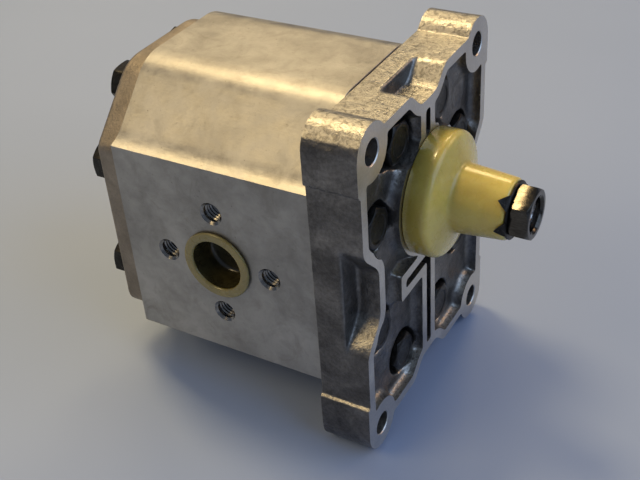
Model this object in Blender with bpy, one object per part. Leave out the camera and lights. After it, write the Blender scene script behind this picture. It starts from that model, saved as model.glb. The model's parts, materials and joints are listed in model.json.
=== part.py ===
"""External gear pump: flanged front cover, extruded body, rear cover, two meshing gears.

The frame: +X runs along the shaft towards its coupling end, +Z is up, and -Y is the inlet
side. The origin is below the middle of the pump, on the surface that its lower lugs stand on.
All sizes are in metres.
"""
import math

import bpy
import bmesh
from mathutils import Matrix, Vector

MM = 0.001

# Fits and edges
GAP = 0.3 * MM                    # between pieces that touch or run in each other
OVERCUT = 1.0 * MM                # how far a cutter runs past the face it opens
CHAMFER = 0.8 * MM                # on shaft ends and tapped holes

# Sides of round pieces
PILOT_STEPS = 48
PORT_STEPS = 40
GEAR_STEPS = 36
SHAFT_WAY_STEPS = 34
CAP_STEPS = 32
BUSH_STEPS = 28
LUG_HOLE_STEPS = 24
POCKET_STEPS = 18
BOLT_HOLE_STEPS = 14
DOWEL_STEPS = 12

# Mounting flange
HOLE_PITCH_Y = 98.5 * MM
HOLE_PITCH_Z = 137.0 * MM
LUG_HOLE_DIAMETER = 10.5 * MM
LUG_RADIUS = 12.0 * MM
LUG_ROOT = 53.2 * MM              # height above the body's middle where a lug starts
FLANGE_THICKNESS = 23.3 * MM
FLANGE_SIDE_LIP = 1.5 * MM        # flange side wall beyond the body's side face
FLANGE_END_STEP = 0.9 * MM        # flange end wall inside the body's end face
SHAFT_ABOVE_HOLES_CENTRE = 23.7 * MM
PILOT_DIAMETER = 50.8 * MM
PILOT_HEIGHT = 6.0 * MM
PILOT_RING_WIDTH = 3.4 * MM
WAIST_THICKNESS = 10.2 * MM       # how far back from the front face the notches are cut
CROWN_THICKNESS = 13.4 * MM
WAIST_DEPTH = 12.2 * MM
WAIST_FLAT_HALF = 8.8 * MM
WAIST_HALF = 28.0 * MM
CROWN_DEPTH = 8.2 * MM
CROWN_FLAT_HALF = 5.3 * MM
CROWN_HALF = 18.0 * MM
RIM_WIDTH = 4.6 * MM
CELL_DEPTH = 5.0 * MM
BOSS_RADIUS = 12.4 * MM           # flat land round each lug hole
POCKET_RADIUS = 11.0 * MM
POCKET_DEPTH = 12.0 * MM

# Narrow grooves in the front face and the ribs beside them
GROOVE_WIDTH = 4.2 * MM
GROOVE_DEPTH = 8.0 * MM
RIB_WIDTH = 4.4 * MM
GROOVE_OFFSET_Y = -0.8 * MM
LEG_DROP = 34.0 * MM              # from the shaft axis down to the cross leg of the groove
LEG_REACH = 22.5 * MM             # how far the cross leg runs to the inlet side

# Body
BODY_LENGTH = 94.9 * MM
BODY_SIDE_WALL = 31.9 * MM        # from the gear bore out to the side face
BODY_END_WALL = 26.0 * MM         # from the gear bore out to the top and bottom faces
BODY_CORNER = 31.0 * MM           # size of the sloping corners
BODY_EDGE_RADIUS = 20.0 * MM
FLARE_RADIUS = 20.0 * MM
FLARE_EDGE_ANGLE = math.radians(15.0)

# Rear cover
REAR_THICKNESS = 13.0 * MM
REAR_INSET = 4.8 * MM
REAR_CORNER_RADIUS = 7.0 * MM

# Gears and shafts
TEETH = 11
CENTRE_DISTANCE = 44.0 * MM
ADDENDUM_SHARE = 0.9              # of the module
ROOT_SHARE = 0.15                 # clearance at the root, of the module
THINNING_SHARE = 0.15             # running backlash taken off each tooth, of the module
PRESSURE_ANGLE = math.radians(28.0)
GEAR_WIDTH = 37.0 * MM
TIP_GAP = 0.4 * MM
JOURNAL_RADIUS = 12.0 * MM
JOURNAL_SHORT = 1.0 * MM          # journal end inside the block's outer face
SHAFT_WAY_CLEARANCE = 1.5 * MM    # round the shaft in the front cover
GEAR_CORE_UNDER_ROOT = 1.0 * MM
BUSH_WALL = 1.5 * MM
BUSH_SHORT = 0.5 * MM             # bush end inside the block's face
SHAFT_RADIUS = 11.8 * MM
TAPER_RADIUS = 11.1 * MM
TAPER_RATE = 1.0 / 16.0           # radius lost per length: a 1:8 taper on the diameter
TAPER_START = 2.5 * MM            # in front of the pilot
TAPER_LENGTH = 25.7 * MM
THREAD_RADIUS = 7.0 * MM
NUT_FLATS = 21.0 * MM
NUT_THICKNESS = 8.0 * MM
NUT_TURN = 24.0                   # degrees that the hexagon is turned
NUT_FACE_SHARE = 0.95             # round front face's diameter, as a share of the flats
SHAFT_END_RECESS = 2.5 * MM       # shaft end below the nut's front face
KEY_WIDTH = 4.0 * MM
KEY_RADIUS = 6.5 * MM
KEY_STAND = 1.4 * MM              # key top above the taper
KEY_SLOT_RISE = 4.0 * MM          # slot cutter above the key
KEY_PLACE = 11.6 * MM             # key's middle from the taper's large end

# Shaft seal and its ring
SEAL_RADIUS = 20.0 * MM
SEAL_LENGTH = 7.0 * MM
SEAL_FACE = 1.0 * MM              # seal's front face behind the mounting face
RING_THICKNESS = 1.5 * MM
RING_GROOVE = 1.2 * MM
RING_BAND = 3.2 * MM
RING_MOUTH = 15.0                 # half the angle of the ring's opening, in degrees
SEAL_LIP = 1.5 * MM               # depth and rise of the dust lip
SEAL_SHELL = 2.0 * MM

# Transport cap on the shaft
CAP_SKIRT_HEIGHT = 10.3 * MM
CAP_STEM_RADIUS = 14.9 * MM
CAP_STEM_TAPER = 0.08
CAP_WALL = 1.9 * MM
CAP_END_WALL = 3.0 * MM
CAP_SHOULDER = 4.4 * MM           # length from the skirt to the stem
CAP_END_ROUND = 1.2 * MM
CAP_SHOULDER_CURVE = ((0.26, 0.05), (0.44, 0.18), (0.82, 0.76), (0.93, 0.93))   # shares of
#                                   its length and of the drop from skirt to stem
WASHER_THICKNESS = 0.8 * MM
WASHER_RADIUS = 12.4 * MM
TAB_TURNS = (8.0, 137.0, 188.0, 317.0)   # angles of the tabs, in degrees
TAB_LENGTH = 4.2 * MM
TAB_HALF_WIDTH = 3.6 * MM
TAB_ROOT = 0.5 * MM               # how far a tab starts inside the washer's rim
TAB_LEAN = 2.0 * MM               # how far its tip stands outside the rim

# Cover bolts and dowels
BOLT_RADIUS = 5.0 * MM
BOLT_HEAD_FLATS = 17.0 * MM
BOLT_HEAD_HEIGHT = 6.6 * MM
BOLT_FLANGE_RADIUS = 10.0 * MM
BOLT_FLANGE_HEIGHT = 1.8 * MM
BOLT_FLANGE_SLOPE = 1.2 * MM
BOLT_BITE = 18.0 * MM             # length in the body
BOLT_HOLE_SPARE = 2.0 * MM        # hole depth past the bolt's tip
BOLT_STATIONS = ((58.8, 11.6 * MM), (6.0, 14.2 * MM))   # angle from +Y, distance off the bore
DOWEL_RADIUS = 3.0 * MM
DOWEL_DEPTH = 6.0 * MM
DOWEL_STATION = (18.8, 23.65 * MM)                      # angle from Y, distance off the bore

# Face seals
SEAL_CORD = 2.0 * MM
SEAL_OFFSET = 3.6 * MM            # middle of the body seal outside the gear bore
PRESSURE_SEAL_WIDTH = 3.0 * MM
PRESSURE_SEAL_HEIGHT = 3.0 * MM
PRESSURE_SEAL_WAIST = 2.84 * MM    # where each arc ends, off the line between the gears
PRESSURE_SEAL_OPENING = 78.0       # degrees, where the 3 starts and stops
PRESSURE_SEAL_STEPS = 14
BACKUP_WIDTH = 1.2 * MM

# Ports: bore radius, tapped-hole circle radius, tapped-hole minor radius, plug rim, cup radius
TAPPED_DEPTH = 15.0 * MM
PORT_START = 6.0 * MM             # port bores start this far out from the gears' plane
PORTS = {
    "inlet": {"side": -1, "bore": 13.5 * MM, "circle": 25.5 * MM, "tap": 4.3 * MM,
              "rim": 16.2 * MM, "wall": 1.3 * MM},
    "outlet": {"side": 1, "bore": 10.0 * MM, "circle": 20.0 * MM, "tap": 3.4 * MM,
               "rim": 12.6 * MM, "wall": 1.3 * MM},
}
PLUG_RIM_HEIGHT = 1.4 * MM
PLUG_DEPTH = 13.0 * MM
PLUG_FLOOR = 2.0 * MM
PLUG_EDGE = 0.5 * MM              # chamfers round the plug's rim
PLUG_DRAFT = 0.6 * MM             # cup's floor narrower than its mouth
PLUG_LEAD = 1.0 * MM              # chamfer on the end that goes in first

# Places that follow from the sizes
MODULE = CENTRE_DISTANCE / TEETH
ADDENDUM = ADDENDUM_SHARE * MODULE
ROOT_CLEARANCE = ROOT_SHARE * MODULE
TOOTH_THINNING = THINNING_SHARE * MODULE
BORE_RADIUS = CENTRE_DISTANCE / 2 + ADDENDUM + TIP_GAP
BODY_HALF_WIDTH = BORE_RADIUS + BODY_SIDE_WALL
BODY_HALF_HEIGHT = CENTRE_DISTANCE / 2 + BORE_RADIUS + BODY_END_WALL
FLANGE_HALF_WIDTH = BODY_HALF_WIDTH + FLANGE_SIDE_LIP
FLANGE_HALF_HEIGHT = BODY_HALF_HEIGHT - FLANGE_END_STEP
Z_HOLES = HOLE_PITCH_Z / 2 + LUG_RADIUS
Z_DRIVE = Z_HOLES + SHAFT_ABOVE_HOLES_CENTRE
Z_DRIVEN = Z_DRIVE - CENTRE_DISTANCE
Z_BODY = (Z_DRIVE + Z_DRIVEN) / 2
CAP_LENGTH = PILOT_HEIGHT + TAPER_START + TAPER_LENGTH + GAP + CAP_END_WALL
NUT_BACK = CAP_LENGTH + 2 * GAP + WASHER_THICKNESS
FRONT_REACH = NUT_BACK + NUT_THICKNESS
REAR_REACH = (FLANGE_THICKNESS + GAP + BODY_LENGTH + GAP + REAR_THICKNESS + GAP
              + BOLT_FLANGE_HEIGHT + BOLT_HEAD_HEIGHT)
X_FACE = (REAR_REACH - FRONT_REACH) / 2
X_FLANGE_BACK = X_FACE - FLANGE_THICKNESS
X_BODY_FRONT = X_FLANGE_BACK - GAP
X_BODY_BACK = X_BODY_FRONT - BODY_LENGTH
X_REAR_FRONT = X_BODY_BACK - GAP
X_REAR_BACK = X_REAR_FRONT - REAR_THICKNESS
X_MIDDLE = (X_BODY_FRONT + X_BODY_BACK) / 2
BLOCK_LENGTH = (BODY_LENGTH - GEAR_WIDTH) / 2 - 2 * GAP
BLOCK_RADIUS = BORE_RADIUS - GAP
BUSH_INNER = JOURNAL_RADIUS + GAP
BUSH_OUTER = BUSH_INNER + BUSH_WALL
PRESSURE_SEAL_RADIUS = (BUSH_OUTER + BLOCK_RADIUS) / 2
CAP_SKIRT_RADIUS = PILOT_DIAMETER / 2 + CAP_WALL
ROOT_RADIUS = CENTRE_DISTANCE / 2 - ADDENDUM - ROOT_CLEARANCE
TIP_RADIUS = CENTRE_DISTANCE / 2 + ADDENDUM


# Materials

def material(name, colour, roughness, metallic):
    """A Principled material, made once for each name."""
    found = bpy.data.materials.get(name)
    if found:
        return found
    made = bpy.data.materials.new(name)
    made.use_nodes = True
    shader = made.node_tree.nodes["Principled BSDF"]
    shader.inputs["Base Color"].default_value = (*colour, 1.0)
    shader.inputs["Roughness"].default_value = roughness
    shader.inputs["Metallic"].default_value = metallic
    made.diffuse_color = (*colour, 1.0)
    return made


def extruded_aluminium():
    return material("extruded_aluminium", (0.42, 0.41, 0.38), 0.45, 1.0)


def cast_iron():
    return material("cast_iron", (0.16, 0.15, 0.14), 0.55, 0.9)


def gear_steel():
    return material("gear_steel", (0.45, 0.45, 0.46), 0.25, 1.0)


def black_steel():
    return material("black_steel", (0.02, 0.02, 0.02), 0.4, 0.8)


def bearing_alloy():
    return material("bearing_alloy", (0.55, 0.54, 0.5), 0.4, 1.0)


def bush_bronze():
    return material("bush_bronze", (0.42, 0.25, 0.12), 0.35, 1.0)


def seal_rubber():
    return material("seal_rubber", (0.015, 0.015, 0.015), 0.7, 0.0)


def backup_plastic():
    return material("backup_plastic", (0.75, 0.73, 0.66), 0.5, 0.0)


def cap_nylon():
    return material("cap_nylon", (0.46, 0.38, 0.11), 0.3, 0.0)


# Outlines, as lists of (y, z) points that run round once

def arc(centre, radius, start, end, steps):
    """Points on an arc, angles in degrees from +Y towards +Z."""
    points = []
    for step in range(steps + 1):
        angle = math.radians(start + (end - start) * step / steps)
        points.append((centre[0] + radius * math.cos(angle),
                       centre[1] + radius * math.sin(angle)))
    return points


def rectangle(y_low, y_high, z_low, z_high):
    return [(y_low, z_low), (y_high, z_low), (y_high, z_high), (y_low, z_high)]


def hexagon(centre, flats, turn=0.0):
    radius = flats / math.sqrt(3.0)
    return [arc(centre, radius, turn + 60.0 * side, turn + 60.0 * side, 1)[0]
            for side in range(6)]


def mirrored_quarter(quarter):
    """A whole outline about (0, Z_BODY) from the quarter between top and side."""
    upper = list(quarter)
    lower = [(y, -z) for y, z in reversed(quarter)]
    half = upper + lower
    whole = half + [(-y, -z) for y, z in half]
    clean = []
    for point in whole:
        if not clean or math.dist(point, clean[-1]) > 1e-6:
            clean.append(point)
    if math.dist(clean[0], clean[-1]) < 1e-6:
        clean.pop()
    return [(y, z + Z_BODY) for y, z in clean]


def signed_area(outline):
    total = 0.0
    for (ya, za), (yb, zb) in zip(outline, outline[1:] + outline[:1]):
        total += ya * zb - yb * za
    return total / 2


def inset(outline, distance):
    """The outline moved inwards by a distance, along each corner's bisector."""
    turn = 1.0 if signed_area(outline) > 0 else -1.0
    moved = []
    count = len(outline)
    for index in range(count):
        before = Vector(outline[index - 1])
        here = Vector(outline[index])
        after = Vector(outline[(index + 1) % count])
        first = (here - before).normalized()
        second = (after - here).normalized()
        normal_a = Vector((-first.y, first.x)) * turn
        normal_b = Vector((-second.y, second.x)) * turn
        bisector = (normal_a + normal_b).normalized()
        reach = distance / max(bisector.dot(normal_a), 0.5)
        moved.append(tuple(here + bisector * reach))
    return moved


def ribbon(path, width):
    """A band of one width along an open path."""
    left = []
    right = []
    for index, point in enumerate(path):
        before = Vector(path[max(index - 1, 0)])
        after = Vector(path[min(index + 1, len(path) - 1)])
        along = (after - before).normalized()
        side = Vector((-along.y, along.x)) * width / 2
        here = Vector(point)
        left.append(tuple(here + side))
        right.append(tuple(here - side))
    return left + right[::-1]


def double_circle(radius, steps=20):
    """The outline of two overlapping circles, one round each gear axis."""
    half_angle = math.degrees(math.asin(CENTRE_DISTANCE / 2 / radius))
    upper = arc((0.0, Z_DRIVE), radius, -half_angle, 180.0 + half_angle, steps)
    lower = arc((0.0, Z_DRIVEN), radius, 180.0 - half_angle, 360.0 + half_angle, steps)
    return upper[:-1] + lower[:-1]


def stadium(radius, steps=16):
    """Half circles round the gear axes, joined by straight sides."""
    upper = arc((0.0, Z_DRIVE), radius, 0.0, 180.0, steps)
    lower = arc((0.0, Z_DRIVEN), radius, 180.0, 360.0, steps)
    return upper + lower


def body_outline():
    """Flat top, rounded edge, sloping corner, and a concave flare to the side face."""
    corner_y = BODY_HALF_WIDTH - BODY_CORNER
    flat_end = corner_y - BODY_EDGE_RADIUS * math.tan(math.radians(22.5))
    edge = arc((flat_end, BODY_HALF_HEIGHT - BODY_EDGE_RADIUS), BODY_EDGE_RADIUS, 90.0, 45.0, 6)
    rise = FLARE_RADIUS * (math.sqrt(2.0) - math.sin(FLARE_EDGE_ANGLE)
                           - math.cos(FLARE_EDGE_ANGLE))
    pad_half = BODY_HALF_HEIGHT - BODY_CORNER + rise
    centre = (BODY_HALF_WIDTH + FLARE_RADIUS * math.sin(FLARE_EDGE_ANGLE),
              pad_half + FLARE_RADIUS * math.cos(FLARE_EDGE_ANGLE))
    flare = arc(centre, FLARE_RADIUS, 225.0, 270.0 - math.degrees(FLARE_EDGE_ANGLE), 6)
    return mirrored_quarter(edge + flare)


def rear_outline():
    """The body's outline without its flare, smaller all round, with rounded corners."""
    half_width = BODY_HALF_WIDTH - REAR_INSET
    half_height = BODY_HALF_HEIGHT - REAR_INSET
    corner = BODY_CORNER - REAR_INSET * (2.0 - math.sqrt(2.0))
    tangent = math.tan(math.radians(22.5))
    edge_centre = (half_width - corner - BODY_EDGE_RADIUS * tangent,
                   half_height - BODY_EDGE_RADIUS)
    side_centre = (half_width - REAR_CORNER_RADIUS,
                   half_height - corner - REAR_CORNER_RADIUS * tangent)
    edge = arc(edge_centre, BODY_EDGE_RADIUS, 90.0, 45.0, 6)
    side = arc(side_centre, REAR_CORNER_RADIUS, 45.0, 0.0, 4)
    return mirrored_quarter(edge + side)


def eased(start, end, steps):
    """Points from start to end along a smooth double bend that leaves along z."""
    points = []
    for step in range(steps + 1):
        share = step / steps
        bend = (1.0 - math.cos(math.pi * share)) / 2
        points.append((start[0] + (end[0] - start[0]) * bend,
                       start[1] + (end[1] - start[1]) * share))
    return points


def flange_outline(notched):
    """The flange without its lugs, with or without the four notches in its edges."""
    corner = (FLANGE_HALF_WIDTH, FLANGE_HALF_HEIGHT)
    if not notched:
        return mirrored_quarter([(0.0, corner[1]), corner, (corner[0], 0.0)])
    crown = [(y, z) for z, y in eased((corner[1] - CROWN_DEPTH, CROWN_FLAT_HALF),
                                      (corner[1], CROWN_HALF), 6)]
    waist = eased((corner[0], WAIST_HALF), (corner[0] - WAIST_DEPTH, WAIST_FLAT_HALF), 6)
    return mirrored_quarter(crown + [corner] + waist)


def tooth_flank(steps=5):
    """(radius, half angle) pairs up one side of a tooth."""
    pitch_radius = CENTRE_DISTANCE / 2
    base_radius = pitch_radius * math.cos(PRESSURE_ANGLE)
    half_thickness = math.pi * pitch_radius / TEETH / 2 - TOOTH_THINNING / 2
    at_pitch = half_thickness / pitch_radius

    def involute(angle):
        return math.tan(angle) - angle

    start_radius = max(base_radius, ROOT_RADIUS)
    pairs = []
    for step in range(steps + 1):
        radius = start_radius + (TIP_RADIUS - start_radius) * step / steps
        angle = math.acos(min(base_radius / radius, 1.0))
        pairs.append((radius, at_pitch + involute(PRESSURE_ANGLE) - involute(angle)))
    if ROOT_RADIUS < base_radius:
        pairs.insert(0, (ROOT_RADIUS, pairs[0][1]))
    return pairs


def gear_outline(centre_z, first_tooth):
    """A whole gear's outline, with one tooth centred on the angle first_tooth (degrees)."""
    flank = tooth_flank()
    points = []
    for tooth in range(TEETH):
        middle = math.radians(first_tooth) + 2 * math.pi * tooth / TEETH
        rising = [(radius, middle - half) for radius, half in flank]
        falling = [(radius, middle + half) for radius, half in reversed(flank)]
        for radius, angle in rising + falling:
            points.append((radius * math.cos(angle), centre_z + radius * math.sin(angle)))
    return points


# Solids

def new_object(name, mesh, finish):
    made = bpy.data.objects.new(name, mesh)
    bpy.context.collection.objects.link(made)
    if finish:
        mesh.materials.append(finish)
    return made


def mesh_from(name, grid_maker):
    """A closed mesh with its faces out, from a function that fills a bmesh."""
    shape = bmesh.new()
    grid_maker(shape)
    bmesh.ops.recalc_face_normals(shape, faces=shape.faces)
    mesh = bpy.data.meshes.new(name)
    shape.to_mesh(mesh)
    shape.free()
    return mesh


def prism(name, outline, x_low, x_high, finish=None):
    """An outline in Y and Z, extruded along X."""
    def fill(shape):
        low = [shape.verts.new((x_low, y, z)) for y, z in outline]
        high = [shape.verts.new((x_high, y, z)) for y, z in outline]
        shape.faces.new(low)
        shape.faces.new(high)
        for index in range(len(outline)):
            after = (index + 1) % len(outline)
            shape.faces.new((low[index], low[after], high[after], high[index]))
    return new_object(name, mesh_from(name, fill), finish)


def turned(name, profile, centre, steps, finish=None, axis="X"):
    """A solid of revolution from (along, radius) points.

    A profile that starts and ends on the axis makes a solid piece. Any other profile is a
    closed loop and makes a ring.
    """
    solid = profile[0][1] == 0.0
    turn = {"X": Matrix.Identity(3), "Y": Matrix.Rotation(math.radians(90.0), 3, "Z")}[axis]

    def place(along, radius, angle):
        local = Vector((along, radius * math.cos(angle), radius * math.sin(angle)))
        return turn @ local + Vector(centre)

    def fill(shape):
        rings = []
        for along, radius in profile:
            if radius == 0.0:
                rings.append([shape.verts.new(place(along, 0.0, 0.0))] * steps)
                continue
            rings.append([shape.verts.new(place(along, radius, 2 * math.pi * step / steps))
                          for step in range(steps)])
        pairs = list(zip(rings, rings[1:]))
        if not solid:
            pairs.append((rings[-1], rings[0]))
        for first, second in pairs:
            for step in range(steps):
                after = (step + 1) % steps
                corners = [first[step], first[after], second[after], second[step]]
                unique = list(dict.fromkeys(corners))
                if len(unique) > 2:
                    shape.faces.new(unique)
    made = new_object(name, mesh_from(name, fill), finish)
    made.data.shade_smooth()
    made.data.set_sharp_from_angle(angle=math.radians(30.0))
    return made


def cylinder(name, centre, radius, low, high, steps, finish=None, axis="X"):
    """A plain cylinder; low and high are places along its axis."""
    profile = [(low, 0.0), (low, radius), (high, radius), (high, 0.0)]
    return turned(name, profile, centre, steps, finish, axis)


def combine(target, other, operation):
    """Join or cut the target with another solid, which is used up."""
    modifier = target.modifiers.new(operation.lower(), "BOOLEAN")
    modifier.operation = operation
    modifier.solver = "EXACT"
    modifier.object = other
    bpy.context.view_layer.update()
    graph = bpy.context.evaluated_depsgraph_get()
    result = bpy.data.meshes.new_from_object(target.evaluated_get(graph))
    target.modifiers.clear()
    before = target.data
    target.data = result
    bpy.data.meshes.remove(before)
    used = other.data
    bpy.data.objects.remove(other)
    bpy.data.meshes.remove(used)


def cut(target, *cutters):
    for cutter in cutters:
        combine(target, cutter, "DIFFERENCE")


def join(target, *others):
    for other in others:
        combine(target, other, "UNION")


# Places of what repeats

def bolt_places():
    """(y, z) of the eight bolts: two outboard of each gear bore, on both sides."""
    places = []
    for axis_z, up in ((Z_DRIVE, 1), (Z_DRIVEN, -1)):
        for angle, off_bore in BOLT_STATIONS:
            reach = BORE_RADIUS + off_bore
            y = reach * math.cos(math.radians(angle))
            z = axis_z + up * reach * math.sin(math.radians(angle))
            places += [(y, z), (-y, z)]
    return places


def dowel_places():
    """(y, z) of the two dowels, outboard of opposite gear bores."""
    angle, off_bore = DOWEL_STATION
    reach = BORE_RADIUS + off_bore
    y = reach * math.cos(math.radians(angle))
    z = reach * math.sin(math.radians(angle))
    return [(y, Z_DRIVE + z), (-y, Z_DRIVEN - z)]


def lug_places():
    """(y, z, up) of the four mounting holes."""
    return [(side * HOLE_PITCH_Y / 2, Z_HOLES + up * HOLE_PITCH_Z / 2, up)
            for side in (-1, 1) for up in (-1, 1)]


def seal_loop(x_low, x_high, width, name, finish=None):
    """A face seal's ring, or the groove for it, round both gear bores."""
    middle = BORE_RADIUS + SEAL_OFFSET
    ring = prism(name, stadium(middle + width / 2), x_low, x_high, finish)
    cut(ring, prism("seal_inside", stadium(middle - width / 2), x_low - OVERCUT, x_high + OVERCUT))
    return ring


def pressure_path():
    """A line shaped like a 3 round the journals, on the outlet side."""
    half = CENTRE_DISTANCE / 2
    radius = PRESSURE_SEAL_RADIUS
    rise = min(1.0, (half - PRESSURE_SEAL_WAIST) / radius)
    waist = min(PRESSURE_SEAL_OPENING, math.degrees(math.asin(rise)))
    upper = arc((0.0, Z_BODY + half), radius, PRESSURE_SEAL_OPENING, -waist, PRESSURE_SEAL_STEPS)
    lower = arc((0.0, Z_BODY - half), radius, waist, -PRESSURE_SEAL_OPENING, PRESSURE_SEAL_STEPS)
    return upper + lower


# Housing pieces

def front_cover():
    """Cast mounting flange with lugs, notches, ribs, bolt pockets and the shaft pilot."""
    finish = cast_iron()
    cover = prism("front_cover", flange_outline(False), X_FLANGE_BACK, X_FACE, finish)
    for y, z, up in lug_places():
        root_z = Z_BODY + up * LUG_ROOT
        side_low = y - LUG_RADIUS
        side_high = y + LUG_RADIUS
        outline = arc((y, z), LUG_RADIUS, 0.0 if up > 0 else 180.0, 180.0 if up > 0 else 360.0, 12)
        outline += [(side_low, root_z), (side_high, root_z)] if up > 0 else \
                   [(side_high, root_z), (side_low, root_z)]
        join(cover, prism("lug", outline, X_FLANGE_BACK, X_FACE, finish))
    for notch in notch_cutters():
        cut(cover, notch)
    cut(cover, cell_cutter())
    pilot_profile = [(X_FACE - CELL_DEPTH - OVERCUT, 0.0),
                     (X_FACE - CELL_DEPTH - OVERCUT, PILOT_DIAMETER / 2),
                     (X_FACE + PILOT_HEIGHT - OVERCUT, PILOT_DIAMETER / 2),
                     (X_FACE + PILOT_HEIGHT, PILOT_DIAMETER / 2 - OVERCUT),
                     (X_FACE + PILOT_HEIGHT, 0.0)]
    join(cover, turned("pilot", pilot_profile, (0.0, 0.0, Z_DRIVE), PILOT_STEPS, finish))
    for groove in groove_cutters():
        cut(cover, groove)
    for y, z, up in lug_places():
        cut(cover, cylinder("lug_hole", (0.0, y, z), LUG_HOLE_DIAMETER / 2,
                            X_FLANGE_BACK - OVERCUT, X_FACE + OVERCUT, LUG_HOLE_STEPS))
    cut(cover, turned("shaft_way", shaft_way_profile(), (0.0, 0.0, Z_DRIVE), SHAFT_WAY_STEPS))
    for y, z in dowel_places():
        cut(cover, cylinder("dowel_hole", (0.0, y, z), DOWEL_RADIUS,
                            X_FLANGE_BACK - OVERCUT, X_FLANGE_BACK + DOWEL_DEPTH, DOWEL_STEPS))
    for y, z in bolt_places():
        floor = X_FACE - POCKET_DEPTH
        pocket = [(X_FLANGE_BACK - OVERCUT, 0.0), (X_FLANGE_BACK - OVERCUT, BOLT_RADIUS + GAP),
                  (floor, BOLT_RADIUS + GAP), (floor, POCKET_RADIUS),
                  (X_FACE + OVERCUT, POCKET_RADIUS), (X_FACE + OVERCUT, 0.0)]
        cut(cover, turned("pocket", pocket, (0.0, y, z), POCKET_STEPS))
    cut(cover, seal_loop(X_FLANGE_BACK - OVERCUT, X_FLANGE_BACK + SEAL_CORD + GAP,
                         SEAL_CORD + 2 * GAP, "seal_groove"))
    return cover


def notch_cutters():
    """Solids that take the waist and crown notches out of the front of the flange."""
    x_high = X_FACE + OVERCUT
    beyond = 4 * OVERCUT
    waist = eased((FLANGE_HALF_WIDTH, WAIST_HALF),
                  (FLANGE_HALF_WIDTH - WAIST_DEPTH, WAIST_FLAT_HALF), 6)
    waist += [(y, -z) for y, z in reversed(waist)]
    outside = FLANGE_HALF_WIDTH + beyond
    waist = [(outside, WAIST_HALF)] + waist + [(outside, -WAIST_HALF)]
    crown = [(y, z) for z, y in eased((FLANGE_HALF_HEIGHT - CROWN_DEPTH, CROWN_FLAT_HALF),
                                      (FLANGE_HALF_HEIGHT, CROWN_HALF), 6)]
    crown = [(-y, z) for y, z in reversed(crown)] + crown
    above = FLANGE_HALF_HEIGHT + beyond
    crown = [(-CROWN_HALF, above)] + crown + [(CROWN_HALF, above)]
    cutters = []
    for sign in (-1, 1):
        side = [(sign * y, Z_BODY + z) for y, z in waist]
        end = [(y, Z_BODY + sign * z) for y, z in crown]
        cutters += [prism("waist", side, X_FACE - WAIST_THICKNESS, x_high),
                    prism("crown", end, X_FACE - CROWN_THICKNESS, x_high)]
    return cutters


def rib_outlines():
    """The raised strips in the front face: beside the grooves, and round the cross leg."""
    half = GROOVE_WIDTH / 2
    leg_z = Z_DRIVE - LEG_DROP
    bottom = Z_BODY - FLANGE_HALF_HEIGHT
    top = Z_BODY + FLANGE_HALF_HEIGHT
    middle = GROOVE_OFFSET_Y
    wide = half + RIB_WIDTH
    return [rectangle(middle - wide, middle + wide, bottom, leg_z),
            rectangle(middle - LEG_REACH - RIB_WIDTH, middle, leg_z - wide, leg_z + wide),
            rectangle(middle - wide, middle + wide, leg_z, Z_DRIVE),
            rectangle(middle - wide, middle + wide, Z_DRIVE, top)]


def cell_cutter():
    """The space recessed between the rim, the lug lands, the pilot ring and the ribs."""
    low = X_FACE - CELL_DEPTH
    high = X_FACE + OVERCUT
    cutter = prism("cells", inset(flange_outline(True), RIM_WIDTH), low, high)
    for y, z, up in lug_places():
        cut(cutter, cylinder("land", (0.0, y, z), BOSS_RADIUS, low - OVERCUT, high + OVERCUT,
                             LUG_HOLE_STEPS))
    ring = PILOT_DIAMETER / 2 + PILOT_RING_WIDTH
    cut(cutter, cylinder("ring", (0.0, 0.0, Z_DRIVE), ring, low - OVERCUT, high + OVERCUT,
                         PILOT_STEPS))
    for outline in rib_outlines():
        cut(cutter, prism("rib", outline, low - OVERCUT, high + OVERCUT))
    return cutter


def groove_cutters():
    """The narrow slots: one above the pilot, and an angled one below it."""
    half = GROOVE_WIDTH / 2
    low = X_FACE - GROOVE_DEPTH
    high = X_FACE + OVERCUT
    middle = GROOVE_OFFSET_Y
    ring = PILOT_DIAMETER / 2 + PILOT_RING_WIDTH / 2
    leg_z = Z_DRIVE - LEG_DROP
    bottom = Z_BODY - FLANGE_HALF_HEIGHT + CROWN_DEPTH + RIM_WIDTH
    top = Z_BODY + FLANGE_HALF_HEIGHT - CROWN_DEPTH - RIM_WIDTH
    slots = [rectangle(middle - half, middle + half, Z_DRIVE + ring, top),
             rectangle(middle - half, middle + half, bottom, leg_z + half),
             rectangle(middle - LEG_REACH, middle + half, leg_z - half, leg_z + half)]
    return [prism("slot", outline, low, high) for outline in slots]


def shaft_way_profile():
    """The hole through the front cover: shaft clearance, seal seat and ring groove."""
    seal_back = X_FACE - SEAL_FACE - SEAL_LENGTH
    ring_back = X_FACE - SEAL_FACE + GAP
    ring_front = ring_back + RING_THICKNESS + 2 * GAP
    front = X_FACE + PILOT_HEIGHT + OVERCUT
    clear = JOURNAL_RADIUS + SHAFT_WAY_CLEARANCE
    return [(X_FLANGE_BACK - OVERCUT, 0.0), (X_FLANGE_BACK - OVERCUT, clear),
            (seal_back - GAP, clear), (seal_back - GAP, SEAL_RADIUS + GAP),
            (ring_back, SEAL_RADIUS + GAP), (ring_back, SEAL_RADIUS + RING_GROOVE),
            (ring_front, SEAL_RADIUS + RING_GROOVE), (ring_front, SEAL_RADIUS + GAP),
            (front, SEAL_RADIUS + GAP), (front, 0.0)]


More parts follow.
